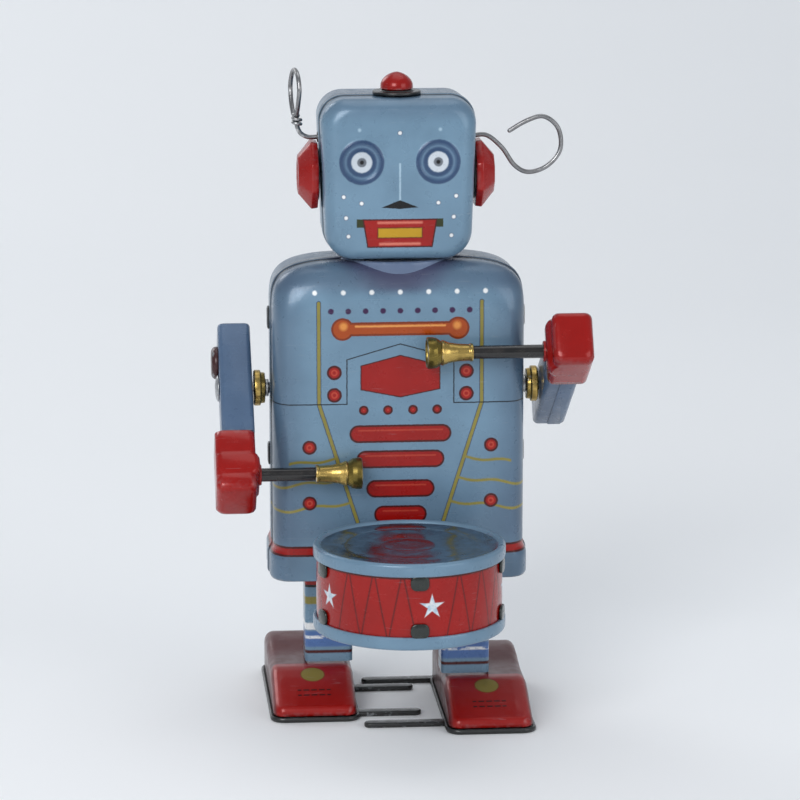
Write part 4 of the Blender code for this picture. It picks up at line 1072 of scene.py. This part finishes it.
# ---- drum ----------------------------------------------------------------------------
def build_drum():
    """Printed wall between two rolled hoops, with a bright ringed head and a plain floor."""
    wall = (DRUM_HIGH.x - DRUM_LOW.x) / 2
    low_rim, high_rim = DRUM.box("drum_bottom_rim"), DRUM.box("drum_top_rim")
    head_high = DRUM.box("drum_head")[1]
    bead = high_rim[1].x
    count = 128
    shell = [(wall - TIN, DRUM_LOW.z)]
    for step in range(17):
        t = step / 16
        shell.append((wall + 0.12 * math.sin(math.pi * t),
                      DRUM_LOW.z + (DRUM_HIGH.z - DRUM_LOW.z) * t))
    shell += [(wall - TIN, DRUM_HIGH.z), (wall - TIN, DRUM_LOW.z)]
    add_piece("drum_wall", lathe(shell, count=count), DRUM, "body", DRUM_RED,
              ["drum_shell"])
    inner = bead - 1.7
    for name, edge, far in (("top", high_rim[1].z, high_rim[0].z),
                            ("bottom", low_rim[0].z, low_rim[1].z)):
        down = 1 if edge > far else -1
        hoop = [(wall + 0.15, far), (bead - 0.25, far), (bead - 0.1, far + down * 0.12)]
        hoop += [(bead, far + down * 0.5), (bead, edge - down * 0.8)]
        hoop += [(bead - 0.75 + 0.75 * math.cos(a), edge - down * (0.75 - 0.75 * math.sin(a)))
                 for a in (math.radians(15 * k) for k in range(1, 12))]
        hoop += [(inner, edge - down * 0.85), (inner, edge - down * 1.25),
                 (wall + 0.15, edge - down * 1.3), (wall + 0.15, far)]
        add_piece(f"drum_{name}_hoop", lathe(hoop, count=count), DRUM, "body",
                  PLAIN_BLUE, [f"drum_{name}_rim"])
    radius = head_high.x + 0.6
    top = head_high.z
    profile = [(0, top - 0.02), (3.0, top - 0.02), (5.0, top), (5.6, top + 0.1), (6.2, top),
               (10.0, top - 0.02), (13.2, top), (13.8, top + 0.12), (14.4, top), (radius - 0.9, top),
               (radius - 0.4, top + 0.2), (radius, top + 0.2), (radius, top - 0.3), (0, top - 0.3)]
    add_piece("drum_skin", lathe(profile, count=count), DRUM, "body", MIRROR_TIN,
              ["drum_head"])
    floor_low, floor_high = DRUM.box("drum_floor")
    base = [(0, floor_low.z), (radius - 4, floor_low.z), (radius - 3.4, floor_low.z - 0.15),
            (radius - 2.8, floor_low.z), (radius, floor_low.z), (radius, floor_high.z),
            (0, floor_high.z)]
    add_piece("drum_base", lathe(base, count=count), DRUM, "body", BRIGHT_TIN,
              ["drum_floor"])
    build_drum_tabs(wall, low_rim[1].z, high_rim[0].z)
    build_bracket()


def build_drum_tabs(wall, low, high):
    """Blackened lugs of the hoops, folded down over the wall in five places."""
    for number in range(5):
        angle = math.radians(1.5 + 72 * number)
        for name, height, down in (("top", high, -1), ("bottom", low, 1)):
            outline = rounded_rectangle(1.95, 1.6, 1.25, (0, down * 1.3))
            tab = prism(outline, 0.0, 0.6, Matrix.Rotation(math.radians(90), 4, "X"),
                        (0, -wall - 0.1, height), 0.26, 3)
            for vert in tab.verts:
                up = vert.co.z - height - down * 1.3
                bulge = 0.35 * math.exp(-((vert.co.x / 1.1) ** 2 + (up / 0.9) ** 2))
                vert.co.y += (wall - math.sqrt(wall * wall - vert.co.x ** 2)) - bulge
            bmesh.ops.rotate(tab, verts=tab.verts, cent=(0, 0, 0),
                             matrix=Matrix.Rotation(angle, 3, "Z"))
            add_piece(f"drum_{name}_lug_{number + 1}", tab, DRUM, "body", LUG_BLACK)


def build_bracket():
    """Strap from the torso to the drum, its outline drawn in the Y-Z plane."""
    low, high = ROBOT.box("drum_bracket")
    near, far = low.y - 0.4, high.y + 0.3
    upright = Matrix(((0, 0, 1, 0), (1, 0, 0, 0), (0, 1, 0, 0), (0, 0, 0, 1)))
    bm = prism([(near, low.z), (far, low.z), (far, high.z), (near, high.z)], low.x, high.x, upright,
               soften=0.35)
    add_piece("drum_bracket_strap", bm, ROBOT, "body", DARK_TIN, ["drum_bracket"])


# ---- arms ----------------------------------------------------------------------------
def build_arm(side):
    """Closed box of folded tin with a lap seam behind; the right one has a boss outside."""
    sign = SIDES[side]
    place = SHOULDER[side]
    body = side + "_arm"
    low, high = SHOULDER["left"].box("left_arm_channel")
    inner, outer, tail = low.x, high.x, high.z
    middle, half = (inner + outer) / 2, (outer - inner) / 2
    loops = []
    for level, inset in ((low.z, 0.5), (low.z, 0.05), (low.z + 0.3, 0.0), (-2.0, 0.0), (2.0, 0.0),
                         (8.0, 0.0), (tail - 0.7, 0.0), (tail - 0.3, 0.1), (tail - 0.08, 0.35),
                         (tail, 0.8)):
        loop = rounded_rectangle(half - inset, high.y - inset, 1.1, (middle, 0))
        loops.append([(sign * x, y, level) for x, y in loop])
    bm = bmesh.new()
    skin(bm, loops)
    channel = add_piece(side + "_arm_tin", bm, place, body, ARM_BLUE,
                        [side + "_arm_channel"], 40.0)
    drill(channel, PIN_HOLE, inner - 3, outer + 2, ALONG_X, sign=sign)
    lap = rounded_rectangle(half * 0.42, (tail - low.z) / 2 - 0.6, 0.3)
    centre = (sign * (middle + half * 0.3), high.y, (tail + low.z) / 2)
    strip = prism(lap, -0.1, 0.22, ALONG_Y, centre, 0.1, 2)
    add_piece(side + "_arm_lap", strip, place, body, ARM_BLUE)
    if side == "right":
        face = abs(place.box("right_arm_channel")[0].x)
        boss = rounded([(0, outer - 0.1), (BOSS_RADIUS, outer - 0.1), (BOSS_RADIUS, face - 0.7),
                        (BOSS_RADIUS - 0.7, face), (0, face)], 0.5)
        add_piece("right_arm_boss", lathe(boss, ALONG_X, (0, 0, BOSS_Z), 48, sign), place, body,
                  BOSS_RED)
    build_hand(side, place, body, sign)
    build_stick(side, place, body, sign)
    build_shoulder(side, place, body, sign, outer)


def build_hand(side, place, body, sign):
    """Folded tin mitten: cuff, fist round the stick and fingertips, with soft creases in front.

    Each row is (drop below the top, inset of the inner side, pinch of the front).
    """
    low, high = place.box(side + "_hand")
    inner, outer = side_span(low, high)
    cuff = 0.9
    rows = ((0.00, 1.5, 1.0), (0.15, 1.1, 0.5), (0.5, cuff, 0.12), (2.0, cuff, 0.0), (4.8, cuff, 0.0),
            (5.5, cuff, 0.22), (5.9, cuff - 0.1, 0.36), (6.4, 0.45, 0.16), (7.2, 0.1, 0.0),
            (9.0, 0.0, 0.0), (10.6, 0.15, 0.05), (11.3, 0.7, 0.26), (11.7, cuff, 0.36),
            (12.1, cuff, 0.2), (12.8, cuff, 0.05), (14.4, cuff, 0.15), (15.2, cuff + 0.3, 0.6),
            (15.55, cuff + 0.8, 1.2), (15.7, cuff + 1.5, 1.9))
    scale = (high.z - low.z) / rows[-1][0]
    loops = []
    for drop, inset, pinch in rows:
        ends = pinch if drop < 0.4 or drop > 15.0 else 0.0
        x_in, x_out = inner + inset, outer - ends * 0.8
        front, back = pinch * 0.8, ends * 0.8
        half_y = high.y - (front + back) / 2
        middle = ((x_in + x_out) / 2, (front - back) / 2)
        loop = rounded_rectangle((x_out - x_in) / 2, half_y, 1.5, middle)
        loops.append([(sign * x, y, high.z - drop * scale) for x, y in loop])
    bm = bmesh.new()
    skin(bm, loops)
    add_piece(side + "_hand_tin", bm, place, body, HAND_RED, [side + "_hand"], 50.0)


def build_stick(side, place, body, sign):
    """Black rod from the fist with a flared brass bell on its tip."""
    low, high = place.box(side + "_stick")
    bell_low, bell_high = place.box(side + "_stick_bell")
    hand_x = side_span(*place.box(side + "_hand"))[0]
    near = side_span(low, high)[0]
    tip, back = side_span(bell_low, bell_high)
    height = (low.z + high.z) / 2
    radius = (high.z - low.z) / 2
    route = [Vector((sign * x, 0, height))
             for x in (near - 0.8, near + 4, hand_x - 4, hand_x, hand_x + 2.8)]
    rod = tube(bmesh.new(), smooth_route(route, 4), radius, 32)
    add_piece(side + "_stick_rod", rod, place, body, GLOSS_BLACK, [side + "_stick"])
    bore = radius + 0.02
    profile = rounded([(bore, 0), (radius + 0.8, 0), (radius + 0.8, 0.7), (bore, 0.7)], 0.3)
    grip = lathe(profile, ALONG_X, (sign * (hand_x - 0.35), 0, height), 40, sign)
    add_piece(side + "_stick_grommet", grip, place, body, HAND_RED)
    mouth = (bell_high.z - bell_low.z) / 2
    cup = [(mouth - 0.2, 0.0), (mouth, 0.2), (mouth, 1.2), (mouth - 0.2, 2.1), (mouth - 0.75, 2.9),
           (mouth - 0.95, 3.2), (radius, 3.2), (radius, 2.7), (mouth - 1.1, 2.3), (mouth - 0.6, 1.2),
           (mouth - 0.45, 0.2), (mouth - 0.2, 0.0)]
    length = back - tip
    sleeve = [(bore, 3.1), (mouth - 0.75, 3.1), (mouth - 0.65, 3.5), (mouth - 0.85, 3.9),
              (radius + 0.75, 4.8), (radius + 0.45, 6.6), (radius + 0.32, length - 0.9),
              (radius + 0.5, length - 0.7), (radius + 0.5, length - 0.2), (radius + 0.3, length),
              (bore, length), (bore, 3.1)]
    for name, profile, finish, replaced in (("cup", cup, OLIVE_BRASS, [side + "_stick_bell"]),
                                            ("sleeve", sleeve, BRASS, [])):
        piece = lathe(rounded(profile, 0.15, 3), ALONG_X, (sign * tip, 0, height), 48, sign)
        add_piece(f"{side}_bell_{name}", piece, place, body, finish, replaced)


def build_shoulder(side, place, body, sign, outer):
    """Brass spool between torso and arm, and the steel rivet that runs through both."""
    low, high = place.box(side + "_shoulder_ferrule")
    near, far = side_span(low, high)
    wide = high.z
    bore = 1.3
    spool = [(bore, near), (wide - 0.6, near), (wide - 0.5, near + 0.9), (wide, near + 1.0),
             (wide, far - 0.25), (wide - 0.25, far), (bore, far)]
    ring = lathe(rounded(spool, 0.15, 3) + [spool[0]], ALONG_X, mirror=sign)
    add_piece(side + "_shoulder_spool", ring, place, body, BRASS,
              [side + "_shoulder_ferrule"])
    start, end = side_span(*place.box(side + "_shoulder_pin"))
    shank = 1.2
    wall = TORSO_HIGH.x - SKIRT_STEP
    pin = [(0, start), (shank - 0.2, start), (shank, start + 0.3), (shank, wall + 0.45),
           (1.9, wall + 0.5), (1.9, near - 0.1), (shank, near), (shank, outer + 0.1),
           (2.9, outer + 0.1), (2.9, outer + 0.35), (2.2, outer + 0.7), (0.9, end), (0, end)]
    rivet = lathe(rounded(pin, 0.15, 3), ALONG_X, count=48, mirror=sign)
    add_piece(side + "_shoulder_rivet", rivet, place, body, STEEL, [side + "_shoulder_pin"])


# ---- legs and feet -------------------------------------------------------------------
def channel_loops(low, high, sign, levels, turn=1.1, wall=0.45):
    """Cross-sections of a channel that is open behind; levels holds (z, flange shortening)."""
    inner, outer = side_span(low, high)
    front = low.y + turn
    loops = []
    for z, shorten in levels:
        back = high.y - shorten
        halfway = (back + front) / 2
        path = [(inner, back), (inner, halfway)]
        path += arc((inner + turn, front), turn, 180, 270, 6)
        path += arc((outer - turn, front), turn, 270, 360, 6)
        path += [(outer, halfway), (outer, back), (outer - wall, back), (outer - wall, halfway)]
        path += arc((outer - turn, front), turn - wall, 360, 270, 6)
        path += arc((inner + turn, front), turn - wall, 270, 180, 6)
        path += [(inner + wall, halfway), (inner + wall, back)]
        loops.append([(sign * x, y, z) for x, y in path])
    return loops


def build_foot(side):
    """Printed leg with its shoe and sole."""
    sign = SIDES[side]
    place = FOOT[side]
    body = side + "_foot"
    low, high = place.box(side + "_leg")
    levels = [(low.z, 0), (low.z + 0.4, 0), (14, 0), (22, 0), (31, 0), (high.z - 3, 0),
              (high.z - 1.2, 0.8), (high.z, 2.2)]
    bm = bmesh.new()
    skin(bm, channel_loops(low, high, sign, levels))
    leg = add_piece(side + "_leg_tin", bm, place, body, LEG, [side + "_leg"], 40.0)
    inner = side_span(low, high)[0]
    drill(leg, PIN_HOLE, inner - 1, inner + 2, ALONG_X, (0, 0, CRANK_AXIS.z), sign)
    build_shoe(side, place, body, sign)
    build_sole(side, place, body, sign)


def shoe_height(t, instep, top, length):
    """Height of the shoe's upper above its rim, t mm behind the toe."""
    toe, slope_end, rise_start, rise_end = 2.2, 14.6, 24.0, length - 6.0
    if t < 1.2:
        return toe * math.sqrt(max(0.0, 1 - (1 - t / 1.2) ** 2))
    if t < slope_end:
        ease = (t - 1.2) / (slope_end - 1.2)
        return toe + (instep - toe) * (ease * 0.86 + 0.14 * math.sin(ease * math.pi / 2))
    if t < rise_start:
        return instep
    if t < rise_end:
        return instep + (top - instep) * smooth_step((t - rise_start) / (rise_end - rise_start))
    back = (t - rise_end) / (length - rise_end)
    return top * math.sqrt(max(0.0, 1 - back ** 2.4 * 0.999))


def build_shoe(side, place, body, sign):
    """Stamped upper as stacked sections along the foot, its long edges rounded."""
    low, high = place.box(side + "_shoe")
    length = high.y - low.y
    inner, outer = side_span(low, high)
    middle, half = (inner + outer) / 2, (outer - inner) / 2
    base = low.z
    top = high.z - base
    instep = place.box(side + "_leg")[0].z - TIN - base
    stations = [0.0, 0.15, 0.4, 0.8, 1.2, 2.0, 3.5, 5.5, 7.5, 9.5, 11.5, 13.0, 14.6, 16.0, 20.0,
                24.0, 26.0, 28.0, 30.0, 32.0, 34.0]
    stations += [length - left for left in (6.0, 4.6, 3.6, 2.6, 1.7, 1.0, 0.5, 0.2, 0.0)]
    bm = bmesh.new()
    loops = []
    corner = 2.6
    for t in stations:
        height = max(shoe_height(t, instep, top, length), 0.05)
        cut_in = max(0.0, corner - min(t, length - t))
        narrow = corner - math.sqrt(max(0.0, corner ** 2 - cut_in ** 2))
        wide = half - narrow
        edge = min(2.0, height * 0.8, wide * 0.5)
        section = [(-wide, 0.0)]
        section += arc((-wide + edge, height - edge), edge, 180, 90, 7)
        section += [(-wide + edge + (wide - edge) * 2 * k / 8, height) for k in range(1, 8)]
        section += arc((wide - edge, height - edge), edge, 90, 0, 7)
        section += [(wide, 0.0)]
        loops.append([(sign * (middle + x), low.y + t, base + z) for x, z in section])
    skin(bm, loops, closed=False, caps=False)
    bmesh.ops.remove_doubles(bm, verts=bm.verts, dist=WELD)
    bmesh.ops.recalc_face_normals(bm, faces=bm.faces)
    top_face = max(bm.faces, key=lambda face: face.calc_center_median().z)
    if top_face.normal.z < 0:
        bmesh.ops.reverse_faces(bm, faces=bm.faces)
    thicken(add_piece(side + "_shoe_tin", bm, place, body, SHOE, [side + "_shoe"], 50.0,
                      tidy=False))


# Each feeler is (place along the foot from the sole's middle, x of its tip).
FEELERS = {"right": ((-17.6, 4.7), (2.2, 4.6)), "left": ((-14.5, -8.4), (20.0, -6.5))}
FEELER_HALF = 1.45


def build_sole(side, place, body, sign):
    """Black sole plate with a rolled rim, and round-ended feelers toward the other foot."""
    low, high = place.box(side + "_sole")
    shoe_low, shoe_high = place.box(side + "_shoe")
    lip = shoe_low.y - low.y
    inner, outer = side_span(shoe_low, shoe_high)
    middle, half = (inner + outer) / 2, (outer - inner) / 2
    half_y = (high.y - low.y) / 2
    middle_y = (high.y + low.y) / 2
    thick = high.z - low.z
    loops = []
    for inset, up in ((0.5, 0.0), (0.15, 0.15), (0.0, 0.45), (0.05, 0.9), (0.3, thick + 0.15),
                      (0.65, thick + 0.1), (0.8, thick - 0.3)):
        outline = rounded_rectangle(half + lip - inset, half_y - inset, 3.2 - inset,
                                    (middle, middle_y), 10)
        loops.append([(sign * x, y, low.z + up) for x, y in outline])
    bm = bmesh.new()
    skin(bm, loops)
    add_piece(side + "_sole_plate", bm, place, body, BLACK, [side + "_sole"], 50.0)
    for number, (along, tip) in enumerate(FEELERS[side], 1):
        y = middle_y + along
        root = sign * (inner + 1.5)
        nose = tip + sign * FEELER_HALF
        outline = [(root, y - FEELER_HALF), (root, y + FEELER_HALF)]
        outline += arc((nose, y), FEELER_HALF, 90, 90 + 180 * sign, 12)
        feeler = prism(outline, low.z + 0.02, low.z + thick + 0.1, soften=0.35, segments=3)
        add_piece(f"{side}_feeler_{number}", feeler, place, body, BLACK)


# ---- winding key ---------------------------------------------------------------------
def build_key():
    """Butterfly key: hub, neck and two rounded wings with a hole in each."""
    low, high = KEY.box("winding_key")
    hub = rounded([(1.6, low.y), (3.0, low.y), (3.0, low.y + 1.2), (2.6, low.y + 1.8),
                   (2.6, high.y - 10.4), (1.9, high.y - 9.6), (0, high.y - 9.6)], 0.3)
    bm = lathe(hub + [(0, low.y + 5.6), (1.6, low.y + 5.6), (1.6, low.y)], ALONG_Y, count=48)
    wing = []
    reach = high.x
    middle = high.y - 5.9
    for step in range(96):
        angle = 2 * math.pi * step / 96
        span = 3.6 + (reach - 3.6) * abs(math.cos(angle)) ** 1.2
        wing.append((span * math.cos(angle), middle + 5.9 * math.sin(angle)))
    plate = prism(wing, -0.75, 0.75, soften=0.3, segments=3)
    key = add_piece("key_wings", plate, KEY, "winding_train", NICKEL, ["winding_key"])
    for sign in SIDES.values():
        drill(key, 2.4, -2, 2, ALONG_Z, (sign * 7.2, middle, 0), count=48)
    add_piece("key_hub", bm, KEY, "winding_train", NICKEL)


# ---- clockwork -----------------------------------------------------------------------
def dress_clockwork():
    """The hidden motor keeps its CAD shapes and gets finished metals."""
    finishes = {"brass": BRASS, "steel": STEEL, "blued_steel": BLUED}
    replaced = {name for piece in bpy.context.scene.objects for name in piece.get("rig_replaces", [])}
    for entry in frame["record"]["behaviour"]["bodies"].values():
        for name in entry:
            node = frame["nodes"][name]
            if name not in replaced and node.material_slots:
                slot = node.material_slots[0].material.name.split(".")[0]
                node.material_slots[0].material = finishes.get(slot, BRIGHT_TIN)


# ---- stage ---------------------------------------------------------------------------
CAMERA_AZIMUTH = -4.8
CAMERA_ELEVATION = 11.8
CAMERA_DISTANCE = 0.85
CAMERA_LENS = 178.0


def aim(thing, target):
    thing.rotation_euler = (Vector(target) - thing.location).to_track_quat("-Z", "Y").to_euler()


def build_stage():
    """Curved paper backdrop, camera, four soft lights and a pale sky."""
    low, high = cad_box
    centre = (low + high) / 2
    graph = Graph("backdrop")
    cloud = graph.noise(0.004, 2.0)
    graph.put(base_color=graph.mix(cloud, rgb(243, 245, 247), rgb(247, 248, 249)), roughness=0.8)
    bm = bmesh.new()
    profile = [(-1.6, 0.0), (0.5, 0.0)] + [(0.5 + 0.5 * math.sin(a), 0.5 - 0.5 * math.cos(a))
                                          for a in (math.radians(9 * k) for k in range(1, 11))]
    profile += [(1.0, 2.4)]
    skin(bm, [[(x, y, z) for y, z in profile] for x in (-2.4, 2.4)], closed=False, caps=False)
    sweep = to_object("sweep", bm)
    sweep.data.shade_smooth()
    sweep.data.materials.append(graph.material)
    camera_data = bpy.data.cameras.new("camera")
    camera_data.lens = CAMERA_LENS
    camera = bpy.data.objects.new("camera", camera_data)
    bpy.context.scene.collection.objects.link(camera)
    turn, rise = math.radians(CAMERA_AZIMUTH), math.radians(CAMERA_ELEVATION)
    away = Vector((math.sin(turn) * math.cos(rise), -math.cos(turn) * math.cos(rise),
                   math.sin(rise)))
    camera.location = centre + away * CAMERA_DISTANCE
    aim(camera, centre)
    camera_data.clip_start = 0.01
    bpy.context.scene.camera = camera
    for name, place, size, power in (("key", (-0.4, -0.85, 0.5), 0.5, 5.4),
                                     ("fill", (0.7, -0.7, 0.3), 0.6, 2.0),
                                     ("top", (0.1, 0.2, 0.9), 0.7, 1.5),
                                     ("back", (-0.5, 0.7, 0.5), 0.4, 1.4)):
        light = bpy.data.lights.new(name, "AREA")
        light.energy = power
        light.size = size
        lamp = bpy.data.objects.new(name, light)
        lamp.location = centre + Vector(place)
        bpy.context.scene.collection.objects.link(lamp)
        aim(lamp, centre)
    world = bpy.data.worlds.new("studio")
    world.use_nodes = True
    background = world.node_tree.nodes["Background"]
    background.inputs["Color"].default_value = rgb(226, 232, 240)
    background.inputs["Strength"].default_value = 0.5
    bpy.context.scene.world = world
    bpy.context.scene.view_settings.view_transform = "Standard"


# ---- the robot -----------------------------------------------------------------------
def plain_litho(name, colour, **settings):
    graph = Graph(name)
    return varnish(graph, graph.mix(graph.noise(0.05, 2.0) * 0.2, colour, SHADE_BLUE), **settings)


SHOULDER_Z = JOINTS["right_arm_swing"]["pos_m"][2] / MM
SHOE_BOX = FOOT["left"].box("left_shoe")
SHOE_MIDDLE = (SHOE_BOX[0].x + SHOE_BOX[1].x) / 2
COLLAR_HALF_X, COLLAR_HALF_Y = ROBOT.box("neck_collar")[1].xy

CHEST = chest_print()
FACE = face_print()
BACK = back_print()
HEAD_BACK = head_back_print()
DRUM_RED = drum_print()
LEG = leg_print()
SHOE = shoe_print()
PLAIN_BLUE = plain_litho("plain_blue", LIGHT_BLUE)
ARM_BLUE = plain_litho("arm_blue", rgb(84, 108, 138))
COLLAR = plain_litho("collar_blue", COLLAR_BLUE)
BOSS_RED = varnish(Graph("boss_red"), rgb(66, 36, 38))
PLAIN_RED = varnish(Graph("plain_red"), RED, gloss=0.2)
HAND_RED = varnish(Graph("hand_red"), RED, gloss=0.18)
BLACK = enamel("black_enamel", rgb(13, 14, 14), rgb(24, 24, 23), 0.34)
LUG_BLACK = enamel("lug_black", rgb(12, 22, 18), rgb(24, 34, 28), 0.16)
GLOSS_BLACK = enamel("stick_black", rgb(14, 13, 13), rgb(36, 30, 26), 0.14)
BRASS = metal("brass_metal", rgb(200, 170, 98), rgb(108, 88, 46), 0.2)
OLIVE_BRASS = metal("olive_brass", rgb(138, 120, 62), rgb(58, 52, 30), 0.22)
WIRE = metal("wire_steel", rgb(150, 150, 152), rgb(62, 60, 58), 0.22)
STEEL = metal("steel_metal", rgb(186, 188, 190), rgb(104, 104, 104), 0.2)
NICKEL = metal("nickel_metal", rgb(200, 196, 188), rgb(120, 114, 104), 0.16)
BLUED = metal("blued_metal", rgb(52, 62, 100), rgb(26, 26, 40), 0.25)
BRIGHT_TIN = metal("bright_tin", rgb(184, 188, 192), rgb(118, 120, 122), 0.24)
DARK_TIN = metal("dark_tin", rgb(96, 100, 104), rgb(40, 38, 36), 0.3)
MIRROR_TIN = metal("mirror_tin", rgb(150, 158, 170), rgb(70, 74, 84), 0.08, spots=0.2)

build_torso()
build_head()
build_collar()
build_lamp()
for each_side, wire_points in (("right", RIGHT_ANTENNA), ("left", LEFT_ANTENNA)):
    build_ear(each_side)
    build_antenna(each_side, wire_points)
build_wrap()
build_drum()
for each_side in SIDES:
    build_arm(each_side)
    build_foot(each_side)
build_key()
dress_clockwork()
build_stage()
